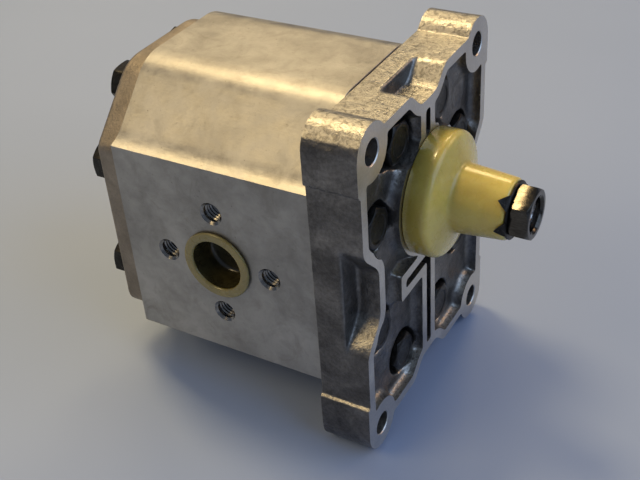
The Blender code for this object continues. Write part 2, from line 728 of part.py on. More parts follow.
def body():
    """Extruded middle housing with the double gear bore, ports and cover holes."""
    housing = prism("body", body_outline(), X_BODY_BACK, X_BODY_FRONT, extruded_aluminium())
    cut(housing, prism("gear_bore", double_circle(BORE_RADIUS, 28),
                       X_BODY_BACK - OVERCUT, X_BODY_FRONT + OVERCUT))
    for port in PORTS.values():
        cut(housing, *port_cutters(port))
    hole = BOLT_RADIUS + GAP
    depth = BOLT_BITE + BOLT_HOLE_SPARE
    for y, z in bolt_places():
        cut(housing,
            cylinder("bolt_hole", (0.0, y, z), hole, X_BODY_FRONT - depth,
                     X_BODY_FRONT + OVERCUT, BOLT_HOLE_STEPS),
            cylinder("bolt_hole", (0.0, y, z), hole, X_BODY_BACK - OVERCUT,
                     X_BODY_BACK + depth, BOLT_HOLE_STEPS))
    for y, z in dowel_places():
        cut(housing,
            cylinder("dowel_hole", (0.0, y, z), DOWEL_RADIUS, X_BODY_FRONT - DOWEL_DEPTH,
                     X_BODY_FRONT + OVERCUT, DOWEL_STEPS),
            cylinder("dowel_hole", (0.0, y, z), DOWEL_RADIUS, X_BODY_BACK - OVERCUT,
                     X_BODY_BACK + DOWEL_DEPTH, DOWEL_STEPS))
    return housing


def port_cutters(port):
    """A port's bore through to the gears, and its four tapped holes with their chamfers."""
    side = port["side"]
    face = side * BODY_HALF_WIDTH
    centre = (X_MIDDLE, 0.0, Z_BODY)
    inner = side * PORT_START
    outer = face + side * OVERCUT
    low, high = sorted((inner, outer))
    cutters = [cylinder("port", centre, port["bore"], low, high, PORT_STEPS, axis="Y")]
    bottom = face - side * TAPPED_DEPTH
    shoulder = face - side * CHAMFER
    profile = [(bottom, 0.0), (bottom, port["tap"]), (shoulder, port["tap"]),
               (face, port["tap"] + CHAMFER), (outer, port["tap"] + CHAMFER), (outer, 0.0)]
    for angle in (0.0, 90.0, 180.0, 270.0):
        x = X_MIDDLE + port["circle"] * math.cos(math.radians(angle))
        z = Z_BODY + port["circle"] * math.sin(math.radians(angle))
        cutters.append(turned("tapped_hole", profile, (x, 0.0, z), BOLT_HOLE_STEPS,
                              axis="Y"))
    return cutters


def rear_cover():
    """Plain cast cover with the rear bolt holes and its face seal's groove."""
    cover = prism("rear_cover", rear_outline(), X_REAR_BACK, X_REAR_FRONT, cast_iron())
    for y, z in bolt_places():
        cut(cover, cylinder("bolt_hole", (0.0, y, z), BOLT_RADIUS + GAP,
                            X_REAR_BACK - OVERCUT, X_REAR_FRONT + OVERCUT, BOLT_HOLE_STEPS))
    for y, z in dowel_places():
        cut(cover, cylinder("dowel_hole", (0.0, y, z), DOWEL_RADIUS,
                            X_REAR_FRONT - DOWEL_DEPTH, X_REAR_FRONT + OVERCUT, DOWEL_STEPS))
    cut(cover, seal_loop(X_REAR_FRONT - SEAL_CORD - GAP, X_REAR_FRONT + OVERCUT,
                         SEAL_CORD + 2 * GAP, "seal_groove"))
    return cover


# Moving pieces

def drive_gear():
    """Driving gear in one piece with its shaft: journals, seal track, taper and thread."""
    half = GEAR_WIDTH / 2
    journal = GAP + BLOCK_LENGTH - JOURNAL_SHORT
    core = ROOT_RADIUS - GEAR_CORE_UNDER_ROOT
    back = X_MIDDLE - half - journal
    block_front = X_MIDDLE + half + GAP + BLOCK_LENGTH
    taper_back = X_FACE + PILOT_HEIGHT + TAPER_START
    taper_front = taper_back + TAPER_LENGTH
    small = TAPER_RADIUS - TAPER_RATE * TAPER_LENGTH
    end = X_FACE + FRONT_REACH - SHAFT_END_RECESS
    profile = [(back, 0.0), (back, JOURNAL_RADIUS - CHAMFER), (back + CHAMFER, JOURNAL_RADIUS),
               (X_MIDDLE - half + CHAMFER, JOURNAL_RADIUS), (X_MIDDLE - half + CHAMFER, core),
               (X_MIDDLE + half - CHAMFER, core), (X_MIDDLE + half - CHAMFER, JOURNAL_RADIUS),
               (block_front, JOURNAL_RADIUS), (block_front, SHAFT_RADIUS),
               (taper_back - CHAMFER, SHAFT_RADIUS), (taper_back, TAPER_RADIUS),
               (taper_front, small), (taper_front, THREAD_RADIUS),
               (end - CHAMFER, THREAD_RADIUS), (end, THREAD_RADIUS - CHAMFER), (end, 0.0)]
    gear = turned("drive_gear", profile, (0.0, 0.0, Z_DRIVE), GEAR_STEPS, gear_steel())
    join(gear, prism("teeth", gear_outline(Z_DRIVE, -90.0), X_MIDDLE - half, X_MIDDLE + half,
                     gear_steel()))
    slot = key_outline(KEY_RADIUS + GAP, KEY_STAND + KEY_SLOT_RISE)
    cut(gear, key_solid("key_slot", slot, KEY_WIDTH / 2 + GAP))
    rebase(gear, (X_MIDDLE, 0.0, Z_DRIVE))
    return gear


def driven_gear():
    """Driven gear with a journal at each end, a gap between teeth facing the driver."""
    half = GEAR_WIDTH / 2
    journal = GAP + BLOCK_LENGTH - JOURNAL_SHORT
    core = ROOT_RADIUS - GEAR_CORE_UNDER_ROOT
    outer = half + journal
    ends = [(outer, 0.0), (outer, JOURNAL_RADIUS - CHAMFER), (outer - CHAMFER, JOURNAL_RADIUS),
            (half - CHAMFER, JOURNAL_RADIUS), (half - CHAMFER, core)]
    profile = [(X_MIDDLE - along, radius) for along, radius in ends]
    profile += [(X_MIDDLE + along, radius) for along, radius in reversed(ends)]
    gear = turned("driven_gear", profile, (0.0, 0.0, Z_DRIVEN), GEAR_STEPS, gear_steel())
    half_pitch = 180.0 / TEETH
    join(gear, prism("teeth", gear_outline(Z_DRIVEN, 90.0 + half_pitch), X_MIDDLE - half,
                     X_MIDDLE + half, gear_steel()))
    rebase(gear, (X_MIDDLE, 0.0, Z_DRIVEN))
    return gear


def rebase(target, origin):
    """Move an object's origin to a point without moving its shape."""
    target.data.transform(Matrix.Translation(-Vector(origin)))
    target.location = origin


def key_outline(radius, stand):
    """A half disc in X and height, from the middle of the taper."""
    x = X_FACE + PILOT_HEIGHT + TAPER_START + KEY_PLACE
    seat = TAPER_RADIUS - TAPER_RATE * KEY_PLACE
    points = [(x + radius, seat + stand), (x - radius, seat + stand)]
    points += arc((x, seat), radius, 180.0, 360.0, 14)
    return points


def key_solid(name, outline, half_width, finish=None):
    """An outline in X and radius, with a width across Y, at the top of the shaft."""
    def fill(shape):
        near = [shape.verts.new((x, -half_width, Z_DRIVE + z)) for x, z in outline]
        far = [shape.verts.new((x, half_width, Z_DRIVE + z)) for x, z in outline]
        shape.faces.new(near)
        shape.faces.new(far)
        for index in range(len(outline)):
            after = (index + 1) % len(outline)
            shape.faces.new((near[index], near[after], far[after], far[index]))
    return new_object(name, mesh_from(name, fill), finish)


def woodruff_key():
    key = key_solid("woodruff_key", key_outline(KEY_RADIUS, KEY_STAND), KEY_WIDTH / 2,
                    gear_steel())
    rebase(key, (X_MIDDLE, 0.0, Z_DRIVE))


def shaft_nut():
    """Hexagon nut with rounded-off corners at its front."""
    back = X_FACE + NUT_BACK
    front = back + NUT_THICKNESS
    nut = prism("shaft_nut", hexagon((0.0, Z_DRIVE), NUT_FLATS, NUT_TURN), back, front,
                black_steel())
    corner = NUT_FLATS / math.sqrt(3.0)
    flat = NUT_FLATS / 2 * NUT_FACE_SHARE
    bevel = (corner - flat) * math.tan(math.radians(30.0))
    outside = corner + OVERCUT
    trim = [(front + OVERCUT, outside), (front - bevel - OVERCUT / 2, outside),
            (front - bevel, corner), (front, flat), (front + OVERCUT, flat)]
    cut(nut, turned("corner_trim", trim, (0.0, 0.0, Z_DRIVE), GEAR_STEPS))
    mouth = THREAD_RADIUS + GAP
    bore = [(back - OVERCUT, 0.0), (back - OVERCUT, mouth), (front - OVERCUT, mouth),
            (front, mouth + OVERCUT), (front + OVERCUT, mouth + OVERCUT),
            (front + OVERCUT, 0.0)]
    cut(nut, turned("nut_bore", bore, (0.0, 0.0, Z_DRIVE), BUSH_STEPS))
    rebase(nut, (X_MIDDLE, 0.0, Z_DRIVE))


def tab_washer():
    """Flat washer whose pointed tabs are bent back over the end of the cap."""
    back = X_FACE + CAP_LENGTH + GAP
    front = back + WASHER_THICKNESS
    hole = THREAD_RADIUS + GAP
    ring = [(back, hole), (front, hole), (front, WASHER_RADIUS), (back, WASHER_RADIUS)]
    washer = turned("tab_washer", ring, (0.0, 0.0, Z_DRIVE), CAP_STEPS, black_steel())
    for turn in TAB_TURNS:
        join(washer, washer_tab(front, math.radians(turn)))
    rebase(washer, (X_MIDDLE, 0.0, Z_DRIVE))


def washer_tab(front, angle):
    """One pointed tab, a thin triangle that leans outwards as it runs back."""
    inner = WASHER_RADIUS - TAB_ROOT
    tip_x = front - TAB_LENGTH
    tip_r = WASHER_RADIUS + TAB_LEAN
    thick = WASHER_THICKNESS
    corners = [(front, inner, -TAB_HALF_WIDTH), (front, inner, TAB_HALF_WIDTH), (tip_x, tip_r, 0.0)]

    def fill(shape):
        under = [shape.verts.new(spin(x, r, side)) for x, r, side in corners]
        over = [shape.verts.new(spin(x, r + thick, side)) for x, r, side in corners]
        shape.faces.new(under)
        shape.faces.new(over)
        for index in range(3):
            after = (index + 1) % 3
            shape.faces.new((under[index], under[after], over[after], over[index]))

    def spin(x, radius, side):
        y = radius * math.cos(angle) - side * math.sin(angle)
        z = radius * math.sin(angle) + side * math.cos(angle)
        return (x, y, Z_DRIVE + z)
    return new_object("tab", mesh_from("tab", fill), black_steel())


def shaft_protector_cap():
    """Moulded cap over the pilot and the taper, held by the nut."""
    back = X_FACE + GAP
    skirt = back + CAP_SKIRT_HEIGHT
    stem = skirt + CAP_SHOULDER
    end = X_FACE + CAP_LENGTH
    over_pilot = PILOT_DIAMETER / 2 + GAP
    roof = X_FACE + PILOT_HEIGHT + GAP
    hole = THREAD_RADIUS + GAP

    def stem_radius(x):
        return CAP_STEM_RADIUS - CAP_STEM_TAPER * (x - stem)

    shoulder = []
    drop = CAP_SKIRT_RADIUS - CAP_STEM_RADIUS
    for share, fall in CAP_SHOULDER_CURVE:
        shoulder.append((skirt + (stem - skirt) * share, CAP_SKIRT_RADIUS - drop * fall))
    inner_end = end - CAP_END_WALL
    wall_in = stem_radius(roof + CAP_WALL) - CAP_WALL
    profile = [(back, over_pilot), (roof, over_pilot), (roof + CAP_WALL, wall_in),
               (inner_end, stem_radius(inner_end) - CAP_WALL), (inner_end, hole), (end, hole),
               (end, stem_radius(end) - CAP_END_ROUND),
               (end - CAP_END_ROUND, stem_radius(end)),
               (stem, CAP_STEM_RADIUS)]
    profile += shoulder[::-1]
    profile += [(skirt, CAP_SKIRT_RADIUS), (back, CAP_SKIRT_RADIUS)]
    cap = turned("shaft_protector_cap", profile, (0.0, 0.0, Z_DRIVE), CAP_STEPS, cap_nylon())
    rebase(cap, (X_MIDDLE, 0.0, Z_DRIVE))


# Bearings and seals

def bearing_block(name, front):
    """Floating block for both gears' journals, with a seal groove in its cover face."""
    outward = 1 if front else -1
    near = X_MIDDLE + outward * (GEAR_WIDTH / 2 + GAP)
    far = near + outward * BLOCK_LENGTH
    low, high = sorted((near, far))
    block = prism(name, double_circle(BLOCK_RADIUS, 24), low, high, bearing_alloy())
    for z in (Z_DRIVE, Z_DRIVEN):
        cut(block, cylinder("bush_seat", (0.0, 0.0, z), BUSH_OUTER + GAP,
                            low - OVERCUT, high + OVERCUT, BUSH_STEPS))
    floor = far - outward * (PRESSURE_SEAL_HEIGHT + GAP)
    groove_low, groove_high = sorted((floor, far + outward * OVERCUT))
    width = PRESSURE_SEAL_WIDTH + BACKUP_WIDTH + 3 * GAP
    cut(block, prism("pressure_groove", ribbon(pressure_path(), width),
                     groove_low, groove_high))
    pressure_seals(name.replace("bearing_block", ""), floor, far, outward)


def pressure_seals(prefix, floor, far, outward):
    """The rubber seal and the plastic backup that lie side by side in a block's groove."""
    low, high = sorted((floor + outward * GAP, far))
    width = PRESSURE_SEAL_WIDTH + BACKUP_WIDTH + 3 * GAP
    for kind, size, finish, from_edge in (
            ("pressure_seal", PRESSURE_SEAL_WIDTH, seal_rubber(), GAP),
            ("backup_ring", BACKUP_WIDTH, backup_plastic(), PRESSURE_SEAL_WIDTH + 2 * GAP)):
        shift = width / 2 - from_edge - size / 2
        path = shifted(pressure_path(), shift)[1:-1]
        prism(prefix + kind, ribbon(path, size), low, high, finish)


def shifted(path, distance):
    """A path moved sideways by a distance."""
    edge = ribbon(path, 2 * distance) if distance > 0 else ribbon(path, -2 * distance)
    count = len(path)
    return edge[:count] if distance > 0 else edge[count:][::-1]


def bush(name, front, z):
    """Plain bearing bush pressed in a block."""
    outward = 1 if front else -1
    near = X_MIDDLE + outward * (GEAR_WIDTH / 2 + GAP + BUSH_SHORT)
    far = X_MIDDLE + outward * (GEAR_WIDTH / 2 + GAP + BLOCK_LENGTH - BUSH_SHORT)
    low, high = sorted((near, far))
    ring = [(low, BUSH_INNER), (high, BUSH_INNER), (high, BUSH_OUTER), (low, BUSH_OUTER)]
    turned(name, ring, (0.0, 0.0, z), BUSH_STEPS, bush_bronze())


def body_seal(name, front):
    """Rubber ring in a cover's face groove."""
    if front:
        seal_loop(X_FLANGE_BACK, X_FLANGE_BACK + SEAL_CORD, SEAL_CORD, name, seal_rubber())
    else:
        seal_loop(X_REAR_FRONT - SEAL_CORD, X_REAR_FRONT, SEAL_CORD, name, seal_rubber())


def shaft_seal():
    """Lip seal round the shaft, in the pilot."""
    front = X_FACE - SEAL_FACE
    back = front - SEAL_LENGTH
    lip = SHAFT_RADIUS + GAP
    shell = SEAL_RADIUS - SEAL_SHELL
    hollow = back + 2 * SEAL_SHELL
    heel = back + SEAL_SHELL / 2
    profile = [(back, SEAL_RADIUS), (front, SEAL_RADIUS), (front, lip + SEAL_LIP),
               (front - SEAL_LIP, lip + SEAL_LIP), (front - SEAL_LENGTH / 2, lip),
               (heel, lip + SEAL_LIP), (heel, shell - SEAL_SHELL),
               (hollow, shell - SEAL_SHELL), (hollow, shell), (back, shell)]
    turned("shaft_seal", profile, (0.0, 0.0, Z_DRIVE), BUSH_STEPS, seal_rubber())


def seal_retaining_ring():
    """Split ring that holds the shaft seal in."""
    back = X_FACE - SEAL_FACE + 2 * GAP
    outer = SEAL_RADIUS + RING_GROOVE - GAP
    outline = arc((0.0, Z_DRIVE), outer, RING_MOUTH, 360.0 - RING_MOUTH, 26)
    outline += arc((0.0, Z_DRIVE), outer - RING_BAND, 360.0 - RING_MOUTH, RING_MOUTH, 26)
    prism("seal_retaining_ring", outline, back, back + RING_THICKNESS, black_steel())


# Fasteners and plugs

def flange_bolt(name, y, z, seat, outward):
    """Hexagon flange bolt; outward is the way its head points along X."""
    head_back = seat + outward * GAP
    collar = head_back + outward * BOLT_FLANGE_HEIGHT
    top = collar + outward * BOLT_HEAD_HEIGHT
    inside = BOLT_BITE + abs(seat - (X_BODY_FRONT if outward > 0 else X_BODY_BACK))
    tip = seat - outward * inside
    slope = BOLT_FLANGE_RADIUS - BOLT_FLANGE_SLOPE
    profile = [(tip, 0.0), (tip, BOLT_RADIUS), (head_back, BOLT_RADIUS),
               (head_back, BOLT_FLANGE_RADIUS), (collar, slope), (collar, 0.0)]
    bolt = turned(name, profile, (0.0, y, z), DOWEL_STEPS, black_steel())
    low, high = sorted((collar - outward * OVERCUT, top))
    head = prism("head", hexagon((y, z), BOLT_HEAD_FLATS, 30.0), low, high, black_steel())
    join(bolt, head)


def bolts():
    for index, (y, z) in enumerate(bolt_places(), start=1):
        flange_bolt(f"front_bolt_{index}", y, z, X_FACE - POCKET_DEPTH, 1)
        flange_bolt(f"rear_bolt_{index}", y, z, X_REAR_BACK, -1)


def dowels():
    for index, (y, z) in enumerate(dowel_places(), start=1):
        for end, low, high in (("front", X_BODY_FRONT, X_FLANGE_BACK),
                               ("rear", X_REAR_FRONT, X_BODY_BACK)):
            cylinder(f"{end}_dowel_{index}", (0.0, y, z), DOWEL_RADIUS - GAP,
                     low - DOWEL_DEPTH + GAP, high + DOWEL_DEPTH - GAP, DOWEL_STEPS, gear_steel())


def port_plug(name, port):
    """Push-in cup with a rim that lies on the port's face."""
    side = port["side"]
    face = BODY_HALF_WIDTH + GAP
    stem = port["bore"] - GAP
    cup = stem - port["wall"]
    rim = port["rim"]
    end = face - GAP - PLUG_DEPTH
    top = face + PLUG_RIM_HEIGHT
    floor = end + PLUG_FLOOR
    outline = [(end, 0.0), (end, stem - PLUG_LEAD), (end + PLUG_LEAD, stem), (face, stem),
               (face, rim - PLUG_EDGE / 2), (face + PLUG_EDGE / 2, rim),
               (top - PLUG_EDGE, rim), (top, rim - PLUG_EDGE), (top, cup + PLUG_EDGE),
               (top - PLUG_EDGE, cup), (floor, cup - PLUG_DRAFT), (floor, 0.0)]
    profile = [(side * along, radius) for along, radius in outline]
    plug = turned(name, profile, (X_MIDDLE, 0.0, Z_BODY), CAP_STEPS, cap_nylon(), axis="Y")
    rebase(plug, (X_MIDDLE, side * BODY_HALF_WIDTH, Z_BODY))


def clear_scene():
    for item in list(bpy.data.objects):
        bpy.data.objects.remove(item)


def build():
    clear_scene()
    body()
    front_cover()
    rear_cover()
    drive_gear()
    driven_gear()
    woodruff_key()
    shaft_nut()
    tab_washer()
    shaft_protector_cap()
    for end, front in (("front", True), ("rear", False)):
        bearing_block(f"{end}_bearing_block", front)
        bush(f"{end}_drive_bush", front, Z_DRIVE)
        bush(f"{end}_driven_bush", front, Z_DRIVEN)
        body_seal(f"{end}_body_seal", front)
    shaft_seal()
    seal_retaining_ring()
    bolts()
    dowels()
    for port_name, port in PORTS.items():
        port_plug(f"{port_name}_port_plug", port)


build()
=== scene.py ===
"""Looks of the hydraulic gear pump: castings, machined faces, fasteners and nylon transport caps.

The frame: +X runs along the shaft towards its coupling end, +Z is up, and -Y is the inlet
side. Outlines are lists of (y, z) points, and all lengths are in metres.
"""

import json
import math

import bpy
import bmesh
from mathutils import Matrix, Vector


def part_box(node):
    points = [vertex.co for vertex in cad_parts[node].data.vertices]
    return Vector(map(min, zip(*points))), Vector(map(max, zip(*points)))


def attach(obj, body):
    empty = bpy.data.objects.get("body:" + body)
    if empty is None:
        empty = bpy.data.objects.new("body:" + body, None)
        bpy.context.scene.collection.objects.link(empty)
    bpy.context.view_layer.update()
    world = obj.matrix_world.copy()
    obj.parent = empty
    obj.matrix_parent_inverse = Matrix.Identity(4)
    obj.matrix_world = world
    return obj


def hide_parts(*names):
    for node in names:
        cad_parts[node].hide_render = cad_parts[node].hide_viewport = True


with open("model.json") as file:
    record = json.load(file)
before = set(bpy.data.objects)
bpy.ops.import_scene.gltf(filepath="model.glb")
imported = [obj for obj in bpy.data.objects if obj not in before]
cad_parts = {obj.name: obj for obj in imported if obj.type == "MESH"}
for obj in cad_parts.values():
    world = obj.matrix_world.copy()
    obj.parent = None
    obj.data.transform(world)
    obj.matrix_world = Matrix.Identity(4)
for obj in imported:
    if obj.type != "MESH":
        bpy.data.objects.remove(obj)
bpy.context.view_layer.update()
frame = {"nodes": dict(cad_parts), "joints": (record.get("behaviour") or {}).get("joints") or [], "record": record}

MM = 0.001
RECORD = frame["record"]

# Places read from the frame
MOUNTS = {mount["name"]: Vector(mount["pos_m"]) for mount in RECORD["mounts"]}
JOINTS = {joint["name"]: joint for joint in frame["joints"]}
OPENINGS = {hole["name"]: hole["box_m"] for hole in RECORD["physics"]["openings"]}
X_FACE = MOUNTS["mounting_face"].x
Z_DRIVE = JOINTS["drive_shaft_spin"]["pos_m"][2]
Z_DRIVEN = JOINTS["driven_gear_spin"]["pos_m"][2]
Z_BODY = (Z_DRIVE + Z_DRIVEN) / 2
CENTRE_DISTANCE = Z_DRIVE - Z_DRIVEN
BODY_LOW, BODY_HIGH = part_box("body")
REAR_LOW, REAR_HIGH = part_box("rear_cover")
COVER_LOW, COVER_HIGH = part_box("front_cover")
NUT_LOW, NUT_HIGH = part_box("shaft_nut")
CAP_LOW, CAP_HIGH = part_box("shaft_protector_cap")
WASHER_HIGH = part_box("tab_washer")[1]
DRIVE_LOW, DRIVE_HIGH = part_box("drive_gear")
DRIVEN_LOW, DRIVEN_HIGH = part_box("driven_gear")
X_BACK = COVER_LOW.x
X_MIDDLE = (BODY_LOW.x + BODY_HIGH.x) / 2
BODY_HALF_WIDTH = BODY_HIGH.y
BODY_HALF_HEIGHT = BODY_HIGH.z - Z_BODY
PILOT_HEIGHT = COVER_HIGH.x - X_FACE

# Flange
FLANGE_SIDE_LIP = 1.5 * MM
FLANGE_END_STEP = 0.6 * MM
FLANGE_HALF_WIDTH = BODY_HALF_WIDTH + FLANGE_SIDE_LIP
FLANGE_HALF_HEIGHT = BODY_HALF_HEIGHT - FLANGE_END_STEP
LUG_RADIUS = 11.85 * MM
LUG_ROOT = 53.2 * MM
LUG_HOLE_RADIUS = 5.25 * MM
PILOT_RADIUS = 25.4 * MM
PILOT_RING_WIDTH = 3.4 * MM
WAIST_THICKNESS = 10.2 * MM
CROWN_THICKNESS = 13.4 * MM
WAIST_DEPTH = 12.2 * MM
WAIST_FLAT_HALF = 8.8 * MM
WAIST_HALF = 28.0 * MM
CROWN_DEPTH = 8.2 * MM
CROWN_FLAT_HALF = 5.3 * MM
CROWN_HALF = 18.0 * MM
RIM_WIDTH = 4.6 * MM
CELL_DEPTH = 5.0 * MM
LAND_RADIUS = 12.4 * MM
POCKET_RADIUS = 11.0 * MM
POCKET_DEPTH = 12.0 * MM
GROOVE_WIDTH = 4.2 * MM
GROOVE_DEPTH = 8.0 * MM
RIB_WIDTH = 4.4 * MM
GROOVE_Y = -0.8 * MM
LEG_DROP = 34.0 * MM
LEG_REACH = 22.5 * MM
SEAL_SEAT_RADIUS = 20.3 * MM
SEAL_SEAT_DEPTH = 8.3 * MM
SHAFT_WAY_RADIUS = 13.5 * MM
PILOT_EDGE = 1.0 * MM
LUG_HOLE_EDGE = 0.4 * MM
SPOT_FACE_CLEARANCE = 0.5 * MM
SPOT_FACE_RISE = 0.8 * MM
TWIN_POCKET_SHIFT = 8.0 * MM       # second pocket beside the upper one on the inlet side
TWIN_POCKET_RISE = 3.1 * MM
MARK_RADIUS = 6.2 * MM
MARK_Y = 40.0 * MM
MARK_Z = 46.5 * MM
MARK_DEPTH = 0.5 * MM

# Casting
STOCK = 1.2 * MM                  # taken off the faces that are machined after casting
CAST_VOXEL = 0.62 * MM
CAST_SMOOTHING = 9
OVERCUT = 1.0 * MM

# Body
BODY_CORNER = 31.0 * MM
BODY_EDGE_RADIUS = 20.0 * MM
FLARE_RADIUS = 20.0 * MM
FLARE_EDGE_ANGLE = math.radians(15.0)
GEAR_BORE_RADIUS = 26.0 * MM
TAPPED_DEPTH = 15.0 * MM
BODY_EDGE = 0.2 * MM
PORT_EDGE = 0.6 * MM
PORT_FLOOR = 6.0 * MM             # the port bore starts this far from the middle plane
BOLT_HOLE_DEPTH = 20.0 * MM
DOWEL_HOLE_RADIUS = 3.0 * MM
PORTS = {
    "inlet": {"side": -1, "bore": 13.5 * MM, "circle": 25.5 * MM, "thread": 5.0 * MM,
              "pitch": 1.5 * MM},
    "outlet": {"side": 1, "bore": 10.0 * MM, "circle": 20.0 * MM, "thread": 4.0 * MM,
               "pitch": 1.25 * MM},
}
REAR_INSET = 4.8 * MM
REAR_CORNER_RADIUS = 7.0 * MM
REAR_EDGE_RADIUS = 2.2 * MM
BOLT_HOLE_RADIUS = 5.3 * MM

# Gears and shaft end
TEETH = 11
PRESSURE_ANGLE = math.radians(28.0)
ADDENDUM = 3.6 * MM
ROOT_CLEARANCE = 0.6 * MM
TOOTH_THINNING = 0.6 * MM
GEAR_WIDTH = 37.0 * MM
JOURNAL_RADIUS = 12.0 * MM
SHAFT_RADIUS = 11.8 * MM
TAPER_RADIUS = 11.1 * MM
TAPER_RATE = 1.0 / 16.0
TAPER_BACK = X_FACE + PILOT_HEIGHT + 2.5 * MM
TAPER_FRONT = TAPER_BACK + 25.7 * MM
THREAD_RADIUS = 7.0 * MM
THREAD_PITCH = 1.5 * MM
NUT_FLATS = 21.0 * MM
NUT_TURN = 24.0
WASHER_RADIUS = 12.4 * MM
WASHER_THICKNESS = 0.8 * MM
TAB_TURNS = (8.0, 137.0, 188.0, 317.0)
TAB_LENGTH = 4.2 * MM
TAB_THICKNESS = 0.72 * MM
TAB_HALF_WIDTH = 3.6 * MM

# Nylon caps
GAP = 0.3 * MM
CAP_SKIRT_LENGTH = 10.3 * MM
CAP_SHOULDER_LENGTH = 4.4 * MM
CAP_STEM_RADIUS = 14.9 * MM
CAP_STEM_TAPER = 0.08
CAP_WALL = 1.9 * MM
CAP_END_WALL = 3.0 * MM
CAP_END_FILLET = 1.5 * MM
PLUG_WALL = 1.3 * MM
PLUG_FLOOR = 2.0 * MM
PLUG_LIP = 0.9 * MM

# Bolts
BOLT_RADIUS = 5.0 * MM
BOLT_FLATS = 17.0 * MM
BOLT_HEAD = 6.6 * MM
BOLT_COLLAR_RADIUS = 10.0 * MM
BOLT_COLLAR = 1.8 * MM

# Camera and table
CAMERA_PLACE = Vector((0.200096, -0.334444, 0.341232))
CAMERA_RIGHT = Vector((0.86906, 0.49072, -0.06266))
CAMERA_UP = Vector((-0.24047, 0.52972, 0.81337))
CAMERA_LENS = 58.42
SENSOR_WIDTH = 36.0
REAR_EDGE_LIFT = 8.2 * MM         # the table's height under the body's rear edge


# Outlines

def arc(centre, radius, start, end, steps):
    """Points on an arc, angles in degrees from +Y towards +Z."""
    points = []
    for step in range(steps + 1):
        angle = math.radians(start + (end - start) * step / steps)
        points.append((centre[0] + radius * math.cos(angle),
                       centre[1] + radius * math.sin(angle)))
    return points


def rectangle(y_low, y_high, z_low, z_high):
    """Outline of an upright rectangle."""
    return [(y_low, z_low), (y_high, z_low), (y_high, z_high), (y_low, z_high)]


def mirrored_quarter(quarter):
    """A whole outline about (0, Z_BODY) from the quarter between top and side."""
    half = list(quarter) + [(y, -z) for y, z in reversed(quarter)]
    whole = half + [(-y, -z) for y, z in half]
    clean = []
    for point in whole:
        if not clean or math.dist(point, clean[-1]) > 1e-6:
            clean.append(point)
    if math.dist(clean[0], clean[-1]) < 1e-6:
        clean.pop()
    return [(y, z + Z_BODY) for y, z in clean]


def signed_area(outline):
    """Positive where the outline runs from +Y towards +Z."""
    total = 0.0
    for (ya, za), (yb, zb) in zip(outline, outline[1:] + outline[:1]):
        total += ya * zb - yb * za
    return total / 2


def inset(outline, distance):
    """The outline moved inwards by a distance, along each corner's bisector."""
    turn = 1.0 if signed_area(outline) > 0 else -1.0
    moved = []
    count = len(outline)
    for index in range(count):
        before = Vector(outline[index - 1])
        here = Vector(outline[index])
        after = Vector(outline[(index + 1) % count])
        first = (here - before).normalized()
        second = (after - here).normalized()
        normal_a = Vector((-first.y, first.x)) * turn
        normal_b = Vector((-second.y, second.x)) * turn
        bisector = (normal_a + normal_b).normalized()
        reach = distance / max(bisector.dot(normal_a), 0.5)
        moved.append(tuple(here + bisector * reach))
    return moved


def eased(start, end, steps=14):
    """Points from start to end along a smooth double bend that leaves along z."""
    points = []
    for step in range(steps + 1):
        share = step / steps
        bend = (1.0 - math.cos(math.pi * share)) / 2
        points.append((start[0] + (end[0] - start[0]) * bend,
                       start[1] + (end[1] - start[1]) * share))
    return points


def double_circle(radius, steps=60):
    """Outline of two overlapping circles about the two shaft axes."""
    half_angle = math.degrees(math.asin(CENTRE_DISTANCE / 2 / radius))
    upper = arc((0.0, Z_DRIVE), radius, -half_angle, 180.0 + half_angle, steps)
    lower = arc((0.0, Z_DRIVEN), radius, 180.0 - half_angle, 360.0 + half_angle, steps)
    return upper[:-1] + lower[:-1]


def body_outline():
    """Flat top, rounded edge, sloping corner, and a concave flare to the side face."""
    corner_y = BODY_HALF_WIDTH - BODY_CORNER
    flat_end = corner_y - BODY_EDGE_RADIUS * math.tan(math.radians(22.5))
    edge = arc((flat_end, BODY_HALF_HEIGHT - BODY_EDGE_RADIUS), BODY_EDGE_RADIUS, 90.0, 45.0, 16)
    rise = FLARE_RADIUS * (math.sqrt(2.0) - math.sin(FLARE_EDGE_ANGLE)
                           - math.cos(FLARE_EDGE_ANGLE))
    pad_half = BODY_HALF_HEIGHT - BODY_CORNER + rise
    centre = (BODY_HALF_WIDTH + FLARE_RADIUS * math.sin(FLARE_EDGE_ANGLE),
              pad_half + FLARE_RADIUS * math.cos(FLARE_EDGE_ANGLE))
    flare = arc(centre, FLARE_RADIUS, 225.0, 270.0 - math.degrees(FLARE_EDGE_ANGLE), 16)
    return mirrored_quarter(edge + flare)


def rear_outline():
    """The body's outline without its flare, smaller all round, with rounded corners."""
    half_width = BODY_HALF_WIDTH - REAR_INSET
    half_height = BODY_HALF_HEIGHT - REAR_INSET
    corner = BODY_CORNER - REAR_INSET * (2.0 - math.sqrt(2.0))
    tangent = math.tan(math.radians(22.5))
    edge_centre = (half_width - corner - BODY_EDGE_RADIUS * tangent,
                   half_height - BODY_EDGE_RADIUS)
    side_centre = (half_width - REAR_CORNER_RADIUS,
                   half_height - corner - REAR_CORNER_RADIUS * tangent)
    edge = arc(edge_centre, BODY_EDGE_RADIUS, 90.0, 45.0, 16)
    side = arc(side_centre, REAR_CORNER_RADIUS, 45.0, 0.0, 10)
    return mirrored_quarter(edge + side)


